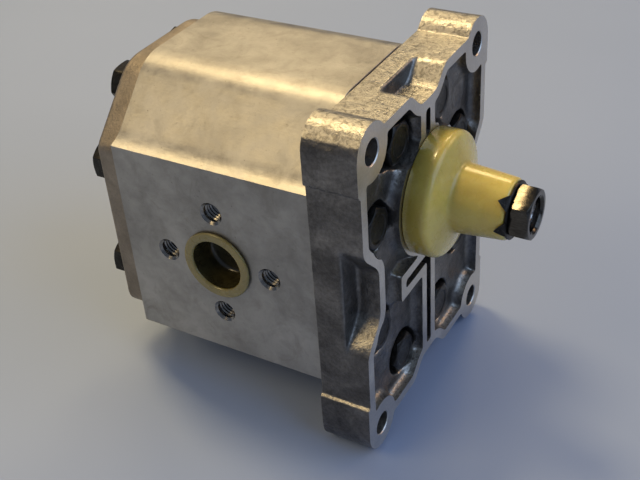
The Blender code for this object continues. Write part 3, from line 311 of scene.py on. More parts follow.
def flange_outline(notched):
    """The flange without its lugs, with or without the four notches in its edges."""
    corner = (FLANGE_HALF_WIDTH, FLANGE_HALF_HEIGHT)
    if not notched:
        return mirrored_quarter([(0.0, corner[1]), corner, (corner[0], 0.0)])
    crown = [(y, z) for z, y in eased((corner[1] - CROWN_DEPTH, CROWN_FLAT_HALF),
                                      (corner[1], CROWN_HALF))]
    waist = eased((corner[0], WAIST_HALF), (corner[0] - WAIST_DEPTH, WAIST_FLAT_HALF))
    return mirrored_quarter(crown + [corner] + waist)


def gear_outline(centre_z, first_tooth, flank_steps=12):
    """A whole gear's outline, with one tooth centred on the angle first_tooth (degrees)."""
    pitch_radius = CENTRE_DISTANCE / 2
    root_radius = pitch_radius - ADDENDUM - ROOT_CLEARANCE
    tip_radius = pitch_radius + ADDENDUM
    base_radius = pitch_radius * math.cos(PRESSURE_ANGLE)
    at_pitch = (math.pi * pitch_radius / TEETH / 2 - TOOTH_THINNING / 2) / pitch_radius

    def involute(angle):
        return math.tan(angle) - angle

    start_radius = max(base_radius, root_radius)
    flank = []
    for step in range(flank_steps + 1):
        radius = start_radius + (tip_radius - start_radius) * step / flank_steps
        angle = math.acos(min(base_radius / radius, 1.0))
        flank.append((radius, at_pitch + involute(PRESSURE_ANGLE) - involute(angle)))
    if root_radius < base_radius:
        flank.insert(0, (root_radius, flank[0][1]))
    points = []
    for tooth in range(TEETH):
        middle = math.radians(first_tooth) + 2 * math.pi * tooth / TEETH
        rising = [(radius, middle - half) for radius, half in flank]
        falling = [(radius, middle + half) for radius, half in reversed(flank)]
        for radius, angle in rising + falling:
            points.append((radius * math.cos(angle), centre_z + radius * math.sin(angle)))
    return points


# Solids

def new_object(name, mesh):
    """An object in the scene for a mesh."""
    made = bpy.data.objects.new(name, mesh)
    bpy.context.scene.collection.objects.link(made)
    return made


def mesh_from(name, maker):
    """A closed mesh with its faces out, from a function that fills a bmesh."""
    shape = bmesh.new()
    maker(shape)
    bmesh.ops.recalc_face_normals(shape, faces=shape.faces)
    mesh = bpy.data.meshes.new(name)
    shape.to_mesh(mesh)
    shape.free()
    return mesh


def loft(name, layers):
    """A solid through outlines of equal length, from (x, outline) pairs along X."""
    def fill(shape):
        rings = [[shape.verts.new((x, y, z)) for y, z in outline] for x, outline in layers]
        shape.faces.new(rings[0])
        shape.faces.new(rings[-1])
        for low, high in zip(rings, rings[1:]):
            for index in range(len(low)):
                after = (index + 1) % len(low)
                shape.faces.new((low[index], low[after], high[after], high[index]))
    return new_object(name, mesh_from(name, fill))


def prism(name, outline, x_low, x_high):
    """An outline carried straight along X."""
    return loft(name, [(x_low, outline), (x_high, outline)])


def flared(name, outline, levels):
    """A prism whose outline is inset by a given distance at each (x, inset) level."""
    return loft(name, [(x, inset(outline, distance)) for x, distance in levels])


def circle(centre, radius, steps=64):
    """Outline of a circle."""
    return arc(centre, radius, 0.0, 360.0, steps)[:-1]


def turned(name, profile, centre, steps=96, axis="X"):
    """A solid of revolution from (along, radius) points.

    A profile that starts and ends on the axis makes a solid piece. Any other profile is a
    closed loop and makes a ring.
    """
    solid = profile[0][1] == 0.0
    turn = {"X": Matrix.Identity(3), "Y": Matrix.Rotation(math.radians(90.0), 3, "Z")}[axis]

    def place(along, radius, angle):
        local = Vector((along, radius * math.cos(angle), radius * math.sin(angle)))
        return turn @ local + Vector(centre)

    def fill(shape):
        rings = []
        for along, radius in profile:
            if radius == 0.0:
                rings.append([shape.verts.new(place(along, 0.0, 0.0))] * steps)
                continue
            rings.append([shape.verts.new(place(along, radius, 2 * math.pi * step / steps))
                          for step in range(steps)])
        pairs = list(zip(rings, rings[1:]))
        if not solid:
            pairs.append((rings[-1], rings[0]))
        for first, second in pairs:
            for step in range(steps):
                after = (step + 1) % steps
                corners = [first[step], first[after], second[after], second[step]]
                unique = list(dict.fromkeys(corners))
                if len(unique) > 2:
                    shape.faces.new(unique)
    return new_object(name, mesh_from(name, fill))


def cylinder(name, centre, radius, low, high, steps=64, axis="X"):
    """A round bar from low to high along its axis."""
    profile = [(low, 0.0), (low, radius), (high, radius), (high, 0.0)]
    return turned(name, profile, centre, steps, axis)


def bake(target):
    """Applies the target's modifiers to its mesh."""
    bpy.context.view_layer.update()
    graph = bpy.context.evaluated_depsgraph_get()
    result = bpy.data.meshes.new_from_object(target.evaluated_get(graph))
    target.modifiers.clear()
    before = target.data
    target.data = result
    bpy.data.meshes.remove(before)


def combine(target, other, operation, solver="MANIFOLD"):
    """Join or cut the target with another solid, which is used up."""
    modifier = target.modifiers.new(operation.lower(), "BOOLEAN")
    modifier.operation = operation
    modifier.solver = solver
    modifier.object = other
    bake(target)
    used = other.data
    bpy.data.objects.remove(other)
    bpy.data.meshes.remove(used)


def cut(target, *cutters):
    """Takes the cutters out of the target."""
    for cutter in cutters:
        combine(target, cutter, "DIFFERENCE")


def join(target, *others):
    """Makes the target and the others one solid."""
    for other in others:
        combine(target, other, "UNION")


def shade(piece, angle=30.0):
    """Smooth shading, with sharp edges above the angle in degrees."""
    piece.data.shade_smooth()
    piece.data.set_sharp_from_angle(angle=math.radians(angle))


def bevel(piece, width, segments=2, angle=30.0):
    """Rounds a piece's sharp edges by a real bevel in its mesh."""
    modifier = piece.modifiers.new("bevel", "BEVEL")
    modifier.width = width
    modifier.segments = segments
    modifier.limit_method = "ANGLE"
    modifier.angle_limit = math.radians(angle)
    modifier.harden_normals = False
    bake(piece)


def finish_piece(piece, body, node, materials, angle=30.0):
    """Shades a piece, gives it its materials and puts it on its body in its node's stead."""
    piece.data.materials.clear()
    for made in materials:
        piece.data.materials.append(made)
    shade(piece, angle)
    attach(piece, body)
    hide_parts(*([node] if isinstance(node, str) else node))


# Node materials

class Recipe:
    """A Principled material whose colour, roughness and bump come from object-space noise."""

    def __init__(self, name, metallic, roughness, **constants):
        self.material = bpy.data.materials.new(name)
        self.material.use_nodes = True
        self.tree = self.material.node_tree
        self.shader = self.tree.nodes["Principled BSDF"]
        self.shader.inputs["Metallic"].default_value = metallic
        self.shader.inputs["Roughness"].default_value = roughness
        for socket, value in constants.items():
            self.shader.inputs[socket.replace("_", " ")].default_value = value
        self.place = self.tree.nodes.new("ShaderNodeTexCoord").outputs["Object"]

    def node(self, kind, **settings):
        """A new shader node with the given settings."""
        made = self.tree.nodes.new(kind)
        for key, value in settings.items():
            setattr(made, key, value)
        return made

    def link(self, source, target):
        self.tree.links.new(source, target)

    def stretched(self, scale):
        """Object-space position scaled along each axis."""
        mapping = self.node("ShaderNodeMapping")
        self.link(self.place, mapping.inputs["Vector"])
        mapping.inputs["Scale"].default_value = scale
        return mapping.outputs["Vector"]

    def noise(self, size, detail=4.0, roughness=0.55, stretch=None, distortion=0.0):
        """Noise whose features are about size metres across."""
        texture = self.node("ShaderNodeTexNoise")
        texture.inputs["Scale"].default_value = 1.0 / size
        texture.inputs["Detail"].default_value = detail
        texture.inputs["Roughness"].default_value = roughness
        texture.inputs["Distortion"].default_value = distortion
        self.link(self.stretched(stretch) if stretch else self.place, texture.inputs["Vector"])
        return texture.outputs["Fac"]

    def ramp(self, source, stops):
        """Colours or grey values by position, as (position, colour) pairs."""
        made = self.node("ShaderNodeValToRGB")
        elements = made.color_ramp.elements
        while len(elements) < len(stops):
            elements.new(0.5)
        for element, (position, colour) in zip(elements, stops):
            element.position = position
            element.color = (*colour, 1.0) if isinstance(colour, tuple) else (colour,) * 3 + (1.0,)
        self.link(source, made.inputs["Fac"])
        return made.outputs["Color"]

    def mix(self, first, second, factor, kind="MIX"):
        """Two colours blended by a factor; each is a socket or a constant."""
        made = self.node("ShaderNodeMix", data_type="RGBA", blend_type=kind)
        self.link_or_set(factor, made.inputs[0])
        self.link_or_set(first, made.inputs[6])
        self.link_or_set(second, made.inputs[7])
        return made.outputs[2]

    def link_or_set(self, value, socket):
        """Feeds a socket from another socket, a colour or a number."""
        if isinstance(value, bpy.types.NodeSocket):
            self.link(value, socket)
        elif isinstance(value, tuple):
            socket.default_value = (*value, 1.0)
        else:
            socket.default_value = value

    def maths(self, operation, first, second=0.0):
        """A Math node on sockets or numbers."""
        made = self.node("ShaderNodeMath", operation=operation)
        self.link_or_set(first, made.inputs[0])
        self.link_or_set(second, made.inputs[1])
        return made.outputs[0]

    def colour(self, source):
        self.link(source, self.shader.inputs["Base Color"])

    def roughness(self, source):
        self.link(source, self.shader.inputs["Roughness"])

    def bump(self, *layers):
        """Stacks (height socket, depth in metres) layers into one normal."""
        normal = None
        for height, depth in layers:
            made = self.node("ShaderNodeBump")
            made.inputs["Strength"].default_value = 1.0
            made.inputs["Distance"].default_value = depth
            self.link(height, made.inputs["Height"])
            if normal:
                self.link(normal, made.inputs["Normal"])
            normal = made.outputs["Normal"]
        self.link(normal, self.shader.inputs["Normal"])

    def edges(self, low=0.5, high=0.6):
        """White on outer edges of a fine mesh, black elsewhere."""
        geometry = self.node("ShaderNodeNewGeometry")
        return self.ramp(geometry.outputs["Pointiness"], [(low, 0.0), (high, 1.0)])

    def facing_up(self, low=0.35, high=0.75):
        """White where the surface looks up, black where it looks sideways or down."""
        split = self.node("ShaderNodeSeparateXYZ")
        self.link(self.node("ShaderNodeNewGeometry").outputs["Normal"], split.inputs[0])
        return self.ramp(split.outputs["Z"], [(low, 0.0), (high, 1.0)])


def cast_skin():
    """Dark pressure-cast aluminium: mottled and slightly glossy, with painted highlight on the faces that look up,
    and outer edges lighter from wear and painted highlight.
    """
    made = Recipe("cast_skin", 0.92, 0.42)
    broad = made.noise(22 * MM, 6.0, 0.65, distortion=0.6)
    fine = made.noise(1.6 * MM, 6.0, 0.7)
    tone = made.ramp(broad, [(0.32, (0.09, 0.085, 0.083)), (0.5, (0.17, 0.162, 0.156)),
                             (0.68, (0.3, 0.285, 0.27))])
    tone = made.mix(tone, made.ramp(fine, [(0.35, (0.5, 0.49, 0.47)), (0.65, (1.0, 1.0, 1.0))]),
                    0.7, "MULTIPLY")
    # painted highlight: a lighter tone laid on the faces that look up, standing in for the light that falls on the
    # tops
    painted_top_light = made.mix((0.42, 0.4, 0.36), (0.19, 0.178, 0.158),
                      made.ramp(made.noise(2.2 * MM, 6.0, 0.72, distortion=0.8),
                                [(0.46, 0.0), (0.62, 1.0)]))
    tone = made.mix(tone, painted_top_light, made.facing_up())
    # edge wear with painted highlight: outer edges made lighter, partly for wear and partly for the highlights on
    # rounded rims
    edge_wear_and_highlight = made.maths("MULTIPLY", made.edges(0.52, 0.62),
                      made.ramp(made.noise(4 * MM, 4.0), [(0.35, 0.1), (0.6, 1.0)]))
    tone = made.mix(tone, (0.68, 0.65, 0.6), edge_wear_and_highlight)
    made.colour(tone)
    made.roughness(made.ramp(made.noise(7 * MM, 4.0), [(0.3, 0.27), (0.7, 0.44)]))
    made.bump((made.noise(3.5 * MM, 5.0, 0.6), 0.35 * MM), (made.noise(0.9 * MM, 4.0), 0.16 * MM))
    return made.material


def machined_face():
    """Milled aluminium: light, with faint curved tool marks."""
    made = Recipe("machined_face", 1.0, 0.38)
    broad = made.noise(20 * MM, 4.0, 0.6)
    tone = made.ramp(broad, [(0.3, (0.56, 0.53, 0.48)), (0.7, (0.75, 0.715, 0.65))])
    marks = made.node("ShaderNodeTexWave", wave_type="RINGS", rings_direction="X")
    marks.inputs["Scale"].default_value = 700.0
    marks.inputs["Distortion"].default_value = 0.6
    marks.inputs["Detail"].default_value = 2.0
    made.link(made.place, marks.inputs["Vector"])
    tone = made.mix(tone, made.ramp(made.noise(1.2 * MM, 4.0), [(0.3, 0.82), (0.7, 1.0)]), 0.7,
                    "MULTIPLY")
    made.colour(tone)
    made.roughness(made.ramp(broad, [(0.3, 0.3), (0.7, 0.44)]))
    made.bump((marks.outputs["Fac"], 0.015 * MM), (made.noise(0.8 * MM, 3.0), 0.02 * MM))
    return made.material


def body_skin():
    """The body's satin aluminium, mottled by handling, with fine lines along the profile."""
    made = Recipe("body_skin", 0.94, 0.5)
    broad = made.noise(34 * MM, 6.0, 0.62)
    cloud = made.noise(9 * MM, 5.0, 0.65, distortion=0.4)
    tone = made.ramp(broad, [(0.28, (0.31, 0.3, 0.285)), (0.5, (0.41, 0.4, 0.38)),
                             (0.72, (0.5, 0.485, 0.46))])
    tone = made.mix(tone, made.ramp(cloud, [(0.3, (0.66, 0.65, 0.64)), (0.62, (1.0, 1.0, 1.0))]),
                    0.8, "MULTIPLY")
    smear = made.ramp(made.noise(15 * MM, 6.0, 0.7, distortion=1.2), [(0.54, 0.0), (0.68, 0.32)])
    tone = made.mix(tone, (0.2, 0.185, 0.16), smear)
    spots = made.ramp(made.noise(1.7 * MM, 3.0, 0.7), [(0.66, 0.0), (0.74, 1.0)])
    tone = made.mix(tone, (0.11, 0.1, 0.085), made.maths("MULTIPLY", spots, 0.6))
    made.colour(tone)
    made.roughness(made.ramp(cloud, [(0.3, 0.36), (0.7, 0.52)]))
    lines = made.noise(0.8 * MM, 3.0, 0.6, stretch=(0.03, 1.0, 1.0))
    made.bump((made.noise(2.4 * MM, 5.0, 0.65), 0.1 * MM), (lines, 0.03 * MM))
    return made.material


def rear_cast_skin():
    """The rear cover's rougher, browner casting."""
    made = Recipe("rear_cast_skin", 0.8, 0.5)
    broad = made.noise(18 * MM, 5.0, 0.6)
    fine = made.noise(1.3 * MM, 5.0, 0.7)
    tone = made.ramp(broad, [(0.3, (0.24, 0.205, 0.165)), (0.7, (0.42, 0.365, 0.3))])
    tone = made.mix(tone, made.ramp(fine, [(0.35, 0.6), (0.65, 1.0)]), 0.6, "MULTIPLY")
    made.colour(tone)
    made.roughness(made.ramp(fine, [(0.3, 0.42), (0.7, 0.6)]))
    made.bump((made.noise(2.6 * MM, 5.0, 0.65), 0.3 * MM), (fine, 0.1 * MM))
    return made.material


def bright_thread():
    """Freshly cut aluminium in tapped and drilled holes."""
    made = Recipe("cut_aluminium", 1.0, 0.2)
    made.colour(made.ramp(made.noise(1.5 * MM, 3.0), [(0.3, (0.2, 0.19, 0.175)),
                                                      (0.7, (0.36, 0.345, 0.32))]))
    made.bump((made.noise(0.5 * MM, 3.0), 0.01 * MM))
    return made.material


def black_oxide(name="black_oxide", scuffed=0.3):
    """Blackened steel with scuffed spots."""
    made = Recipe(name, 0.85, 0.34)
    tone = made.ramp(made.noise(3 * MM, 5.0, 0.65), [(0.35, (0.014, 0.013, 0.012)),
                                                     (0.7, (0.045, 0.042, 0.038))])
    wear = made.ramp(made.noise(1.2 * MM, 4.0, 0.7), [(0.58, 0.0), (0.72, scuffed)])
    tone = made.mix(tone, (0.28, 0.25, 0.21), wear)
    made.colour(tone)
    made.roughness(made.ramp(made.noise(2 * MM, 4.0), [(0.3, 0.25), (0.7, 0.48)]))
    made.bump((made.noise(0.7 * MM, 4.0), 0.03 * MM))
    return made.material


def nut_steel():
    """The nut's phosphated steel, with drawing marks along X on its flats."""
    made = Recipe("nut_steel", 0.97, 0.22)
    grain = made.noise(0.5 * MM, 4.0, 0.65, stretch=(0.12, 1.0, 1.0))
    tone = made.ramp(grain, [(0.3, (0.055, 0.048, 0.04)), (0.7, (0.13, 0.118, 0.1))])
    tone = made.mix(tone, made.ramp(made.noise(5 * MM, 4.0), [(0.35, 0.55), (0.65, 1.0)]), 0.7,
                    "MULTIPLY")
    made.colour(tone)
    made.roughness(made.ramp(made.noise(2 * MM, 4.0), [(0.3, 0.12), (0.7, 0.22)]))
    made.bump((grain, 0.02 * MM))
    return made.material


def ground_steel():
    """Bright steel with fine grinding lines round the axis."""
    made = Recipe("ground_steel", 1.0, 0.22)
    lines = made.noise(0.4 * MM, 3.0, 0.6, stretch=(1.0, 0.15, 0.15))
    made.colour(made.ramp(made.noise(6 * MM, 4.0), [(0.3, (0.4, 0.39, 0.38)),
                                                    (0.7, (0.56, 0.55, 0.54))]))
    made.roughness(made.ramp(lines, [(0.3, 0.18), (0.7, 0.3)]))
    made.bump((lines, 0.012 * MM))
    return made.material


def nylon(name, low, high):
    """Oily olive-yellow moulded nylon that lets some light through."""
    made = Recipe(name, 0.0, 0.26, Subsurface_Weight=0.35, Subsurface_Scale=4.0 * MM,
                  Subsurface_Radius=(1.0, 0.75, 0.22), Coat_Weight=0.5, Coat_Roughness=0.1,
                  IOR=1.53)
    broad = made.noise(14 * MM, 4.0, 0.55)
    tone = made.ramp(broad, [(0.3, low), (0.7, high)])
    dust = made.ramp(made.noise(1.1 * MM, 4.0, 0.7), [(0.66, 0.0), (0.74, 0.5)])
    made.colour(made.mix(tone, (0.2, 0.16, 0.05), dust))
    made.roughness(made.ramp(made.noise(5 * MM, 4.0), [(0.3, 0.2), (0.7, 0.36)]))
    made.bump((made.noise(6 * MM, 3.0), 0.12 * MM), (made.noise(0.8 * MM, 3.0), 0.012 * MM))
    return made.material


def plug_inside_painted_shade():
    """The cup's inside: coloured near-black as painted shade of the hollow, with the open port's shade showing
    through its wall.
    """
    made = Recipe("plug_hollow_painted_shade", 0.0, 0.22, Coat_Weight=0.4, Coat_Roughness=0.1)
    made.colour(made.ramp(made.noise(5 * MM, 4.0, 0.6), [(0.3, (0.022, 0.018, 0.007)),
                                                         (0.7, (0.06, 0.05, 0.02))]))
    made.bump((made.noise(3 * MM, 3.0), 0.08 * MM))
    return made.material


def simple_finish(name, low, high, metallic, roughness, size, depth):
    """A two-tone mottled finish for the pieces inside the pump."""
    made = Recipe(name, metallic, roughness)
    texture = made.noise(size, 5.0, 0.6)
    made.colour(made.ramp(texture, [(0.3, low), (0.7, high)]))
    made.roughness(made.ramp(texture, [(0.3, roughness * 0.8), (0.7, roughness * 1.2)]))
    made.bump((made.noise(size / 4, 3.0), depth))
    return made.material


CAST = cast_skin()
MACHINED = machined_face()
BODY_SKIN = body_skin()
REAR_SKIN = rear_cast_skin()
CUT_METAL = bright_thread()
BLACK = black_oxide()
NUT_STEEL = nut_steel()
STEEL = ground_steel()
CAP_NYLON = nylon("cap_nylon", (0.64, 0.46, 0.085), (0.8, 0.61, 0.135))
PLUG_NYLON = nylon("plug_nylon", (0.20, 0.165, 0.05), (0.29, 0.24, 0.08))
PLUG_INSIDE_SHADE = plug_inside_painted_shade()
INNER = {
    "bearing_alloy": simple_finish("bearing_alloy", (0.42, 0.41, 0.39), (0.56, 0.55, 0.52),
                                   1.0, 0.35, 6 * MM, 0.02 * MM),
    "bush_bronze": simple_finish("bush_bronze", (0.3, 0.17, 0.08), (0.45, 0.28, 0.14),
                                 1.0, 0.32, 3 * MM, 0.015 * MM),
    "seal_rubber": simple_finish("seal_rubber", (0.01, 0.01, 0.01), (0.022, 0.021, 0.02),
                                 0.0, 0.6, 2 * MM, 0.03 * MM),
    "backup_plastic": simple_finish("backup_plastic", (0.62, 0.6, 0.52), (0.74, 0.72, 0.65),
                                    0.0, 0.45, 4 * MM, 0.02 * MM),
    "gear_steel": STEEL,
    "black_steel": BLACK,
}


# Places of what repeats

def lug_places():
    """(y, z, up) of the four mounting holes."""
    places = []
    for name, (low, high) in OPENINGS.items():
        if name.endswith("lug_hole"):
            y = (low[1] + high[1]) / 2
            z = (low[2] + high[2]) / 2
            places.append((y, z, 1 if z > Z_BODY else -1))
    return places


def bolt_nodes(end):
    """(node name, y, z) of the bolts at one end."""
    found = []
    for name in sorted(frame["nodes"]):
        if name.startswith(f"{end}_bolt_"):
            low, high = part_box(name)
            found.append((name, (low.y + high.y) / 2, (low.z + high.z) / 2))
    return found


# Front cover

def waist_outline(sign):
    """Notch in the middle of one side wall."""
    waist = eased((FLANGE_HALF_WIDTH, WAIST_HALF),
                  (FLANGE_HALF_WIDTH - WAIST_DEPTH, WAIST_FLAT_HALF))
    waist += [(y, -z) for y, z in reversed(waist)]
    outside = FLANGE_HALF_WIDTH + 6 * OVERCUT
    waist = [(outside, WAIST_HALF)] + waist + [(outside, -WAIST_HALF)]
    return [(sign * y, Z_BODY + z) for y, z in waist]


def crown_outline(sign):
    """Notch in the middle of one end wall."""
    crown = [(y, z) for z, y in eased((FLANGE_HALF_HEIGHT - CROWN_DEPTH, CROWN_FLAT_HALF),
                                      (FLANGE_HALF_HEIGHT, CROWN_HALF))]
    crown = [(-y, z) for y, z in reversed(crown)] + crown
    above = FLANGE_HALF_HEIGHT + 6 * OVERCUT
    crown = [(-CROWN_HALF, above)] + crown + [(CROWN_HALF, above)]
    return [(y, Z_BODY + sign * z) for y, z in crown]


def rib_outlines():
    """Upright rib and cross rib that carry the grooves."""
    half = GROOVE_WIDTH / 2
    wide = half + RIB_WIDTH
    leg_z = Z_DRIVE - LEG_DROP
    bottom = Z_BODY - FLANGE_HALF_HEIGHT
    top = Z_BODY + FLANGE_HALF_HEIGHT
    return [rectangle(GROOVE_Y - wide, GROOVE_Y + wide, bottom, top),
            rectangle(GROOVE_Y - LEG_REACH - RIB_WIDTH, GROOVE_Y, leg_z - wide, leg_z + wide)]


def draft_levels(sign):
    """(x, inset) levels of a cell wall with a wide fillet at its foot."""
    floor = X_FACE - CELL_DEPTH
    return [(floor, sign * 3.4 * MM), (floor + 0.5 * MM, sign * 2.1 * MM),
            (floor + 1.3 * MM, sign * 1.1 * MM), (floor + 2.6 * MM, sign * 0.45 * MM),
            (X_FACE, 0.0), (X_FACE + 3 * STOCK, -sign * 0.2 * MM)]


def cell_cutter():
    """The recess between the rim, the lug lands, the pilot ring and the ribs."""
    outer = [(x, RIM_WIDTH + distance) for x, distance in draft_levels(1)]
    cutter = flared("cells", flange_outline(True), outer)
    below = [(X_FACE - CELL_DEPTH - OVERCUT, -3.4 * MM)]
    islands = [circle((y, z), LAND_RADIUS) for y, z, _ in lug_places()]
    islands.append(circle((0.0, Z_DRIVE), PILOT_RADIUS + PILOT_RING_WIDTH, 96))
    islands += rib_outlines()
    for outline in islands:
        levels = below + draft_levels(-1)[:-1] + [(X_FACE + 4 * STOCK, 0.0)]
        cut(cutter, flared("island", outline, levels))
    return cutter


def pocket_cutter(y, z):
    """A cast pocket round a bolt, drafted, with a rounded foot."""
    floor = X_FACE - POCKET_DEPTH
    profile = [(floor, 0.0), (floor, POCKET_RADIUS - 0.5 * MM), (floor + 0.8 * MM, POCKET_RADIUS),
               (X_FACE + 3 * STOCK, POCKET_RADIUS + 0.7 * MM), (X_FACE + 3 * STOCK, 0.0)]
    return turned("pocket", profile, (0.0, y, z), 48)


def rough_casting():
    """The flange as it leaves the mould, with stock on its front and back faces."""
    low = X_BACK - STOCK
    high = X_FACE + STOCK
    cover = prism("front_cover_casting", flange_outline(False), low, high)
    for y, z, up in lug_places():
        root_z = Z_BODY + up * LUG_ROOT
        sides = [(y - LUG_RADIUS, root_z), (y + LUG_RADIUS, root_z)]
        if up > 0:
            outline = arc((y, z), LUG_RADIUS, 0.0, 180.0, 32) + sides
        else:
            outline = arc((y, z), LUG_RADIUS, 180.0, 360.0, 32) + sides[::-1]
        join(cover, prism("lug", outline, low, high))
    for sign in (-1, 1):
        waist_back = X_FACE - WAIST_THICKNESS
        crown_back = X_FACE - CROWN_THICKNESS
        cut(cover, prism("waist", waist_outline(sign), waist_back, high + OVERCUT),
            prism("crown", crown_outline(sign), crown_back, high + OVERCUT))
    cut(cover, cell_cutter())
    foot = X_FACE - CELL_DEPTH - OVERCUT
    join(cover, cylinder("pilot_blank", (0.0, 0.0, Z_DRIVE), PILOT_RADIUS + STOCK, foot,
                         X_FACE + PILOT_HEIGHT + STOCK, 96))
    for _, y, z in bolt_nodes("front"):
        cut(cover, pocket_cutter(y, z))
    for _, y, z in bolt_nodes("front"):
        if -30 * MM < y < -15 * MM and z > Z_DRIVE + 25 * MM:
            cut(cover, pocket_cutter(y - TWIN_POCKET_SHIFT, z + TWIN_POCKET_RISE))
    mark_floor = X_FACE - CELL_DEPTH - MARK_DEPTH
    for side in (-1, 1):
        for up in (-1, 1):
            place = (0.0, side * MARK_Y, Z_BODY + up * MARK_Z)
            cut(cover, cylinder("mark", place, MARK_RADIUS, mark_floor,
                                X_FACE - CELL_DEPTH + 1.2 * MM, 40))
    for outline in groove_outlines():
        cut(cover, prism("groove", outline, X_FACE - GROOVE_DEPTH, high + OVERCUT))
    return cover


def groove_outlines():
    """Grooves above and below the shaft, and the cross leg to the inlet side."""
    half = GROOVE_WIDTH / 2
    ring = PILOT_RADIUS + PILOT_RING_WIDTH / 2
    leg_z = Z_DRIVE - LEG_DROP
    bottom = Z_BODY - FLANGE_HALF_HEIGHT + CROWN_DEPTH + RIM_WIDTH
    top = Z_BODY + FLANGE_HALF_HEIGHT - CROWN_DEPTH - RIM_WIDTH
    return [rectangle(GROOVE_Y - half, GROOVE_Y + half, Z_DRIVE + ring, top),
            rectangle(GROOVE_Y - half, GROOVE_Y + half, bottom, leg_z + half),
            rectangle(GROOVE_Y - LEG_REACH, GROOVE_Y + half, leg_z - half, leg_z + half)]


def soften(piece):
    """Rounds the casting's edges and gives its skin a slight unevenness."""
    remesh = piece.modifiers.new("remesh", "REMESH")
    remesh.mode = "VOXEL"
    remesh.voxel_size = CAST_VOXEL
    smooth = piece.modifiers.new("smooth", "SMOOTH")
    smooth.factor = 0.5
    smooth.iterations = CAST_SMOOTHING
    clouds = bpy.data.textures.new("cast_unevenness", "CLOUDS")
    clouds.noise_scale = 7 * MM
    clouds.noise_depth = 3
    rough = piece.modifiers.new("unevenness", "DISPLACE")
    rough.texture = clouds
    rough.texture_coords = "LOCAL"
    rough.strength = 0.35 * MM
    rough.mid_level = 0.5
    bake(piece)


def mark_machined(piece):
    """Gives the flat front and back, the pilot and the drilled holes the machined material."""
    lugs = [(y, z) for y, z, _ in lug_places()]
    for face in piece.data.polygons:
        middle = face.center
        flat = abs(face.normal.x) > 0.999
        at_plane = min(abs(middle.x - X_FACE), abs(middle.x - X_BACK)) < 0.02 * MM
        in_lug = any(abs(math.hypot(middle.y - y, middle.z - z) - LUG_HOLE_RADIUS) < 0.9 * MM
                     for y, z in lugs) and min(X_FACE - middle.x, middle.x - X_BACK) < 0.5 * MM
        in_pilot = math.hypot(middle.y, middle.z - Z_DRIVE) < PILOT_RADIUS + 0.02 * MM
        if (flat and at_plane) or in_lug or (in_pilot and middle.x > X_FACE):
            face.material_index = 1


def front_cover():
    """Cast, then machined flat, bored and drilled."""
    cover = rough_casting()
    soften(cover)
    far = 3 * FLANGE_HALF_HEIGHT
    square = rectangle(-far, far, Z_BODY - far, Z_BODY + far)
    facing = prism("facing", square, X_FACE, X_FACE + 20 * MM)
    keep = [(X_FACE - OVERCUT, 0.0), (X_FACE - OVERCUT, PILOT_RADIUS),
            (X_FACE + PILOT_HEIGHT - PILOT_EDGE, PILOT_RADIUS),
            (X_FACE + PILOT_HEIGHT, PILOT_RADIUS - PILOT_EDGE), (X_FACE + PILOT_HEIGHT, 0.0)]
    cut(facing, turned("pilot_kept", keep, (0.0, 0.0, Z_DRIVE), 128))
    cut(cover, facing, prism("back_facing", square, X_BACK - 20 * MM, X_BACK))
    edge = LUG_HOLE_EDGE
    for y, z, _ in lug_places():
        hole = [(X_BACK - OVERCUT, 0.0), (X_BACK - OVERCUT, LUG_HOLE_RADIUS + edge),
                (X_BACK, LUG_HOLE_RADIUS + edge), (X_BACK + edge, LUG_HOLE_RADIUS),
                (X_FACE - edge, LUG_HOLE_RADIUS), (X_FACE, LUG_HOLE_RADIUS + edge),
                (X_FACE + OVERCUT, LUG_HOLE_RADIUS + edge), (X_FACE + OVERCUT, 0.0)]
        cut(cover, turned("lug_hole", hole, (0.0, y, z), 64))
    for _, y, z in bolt_nodes("front"):
        seat = X_FACE - POCKET_DEPTH
        clear = BOLT_COLLAR_RADIUS + SPOT_FACE_CLEARANCE
        spot = [(X_BACK - OVERCUT, 0.0), (X_BACK - OVERCUT, BOLT_HOLE_RADIUS),
                (seat, BOLT_HOLE_RADIUS), (seat, clear),
                (seat + SPOT_FACE_RISE, clear), (seat + SPOT_FACE_RISE, 0.0)]
        cut(cover, turned("spot_face", spot, (0.0, y, z), 48))
    seat_back = X_FACE - SEAL_SEAT_DEPTH
    way = [(X_BACK - OVERCUT, 0.0), (X_BACK - OVERCUT, SHAFT_WAY_RADIUS),
           (seat_back, SHAFT_WAY_RADIUS),
           (seat_back, SEAL_SEAT_RADIUS), (X_FACE + PILOT_HEIGHT + OVERCUT, SEAL_SEAT_RADIUS),
           (X_FACE + PILOT_HEIGHT + OVERCUT, 0.0)]
    cut(cover, turned("shaft_way", way, (0.0, 0.0, Z_DRIVE), 120))
    cover.data.materials.append(CAST)
    cover.data.materials.append(MACHINED)
    mark_machined(cover)
    indices = [face.material_index for face in cover.data.polygons]
    finish_piece(cover, "housing", "front_cover", [CAST, MACHINED], 40.0)
    cover.data.polygons.foreach_set("material_index", indices)


# Body

def thread_profile(surface, depth, radius, pitch, inwards):
    """(along, radius) points of a tapped hole with real V grooves and a countersink.

    Along runs outwards through the surface; inwards is the sign of the port's side.
    """
    minor = radius - 0.54 * pitch
    bottom = surface - depth
    points = [(bottom - 0.6 * minor, 0.0), (bottom, minor)]
    along = bottom + pitch
    while along < surface - 1.4 * pitch:
        points += [(along, minor), (along + 0.42 * pitch, radius), (along + 0.5 * pitch, radius),
                   (along + 0.92 * pitch, minor)]
        along += pitch
    points += [(surface - 0.9 * MM, minor), (surface, radius + 0.35 * MM),
               (surface + OVERCUT, radius + 0.35 * MM), (surface + OVERCUT, 0.0)]
    return [(inwards * place, size) for place, size in points]


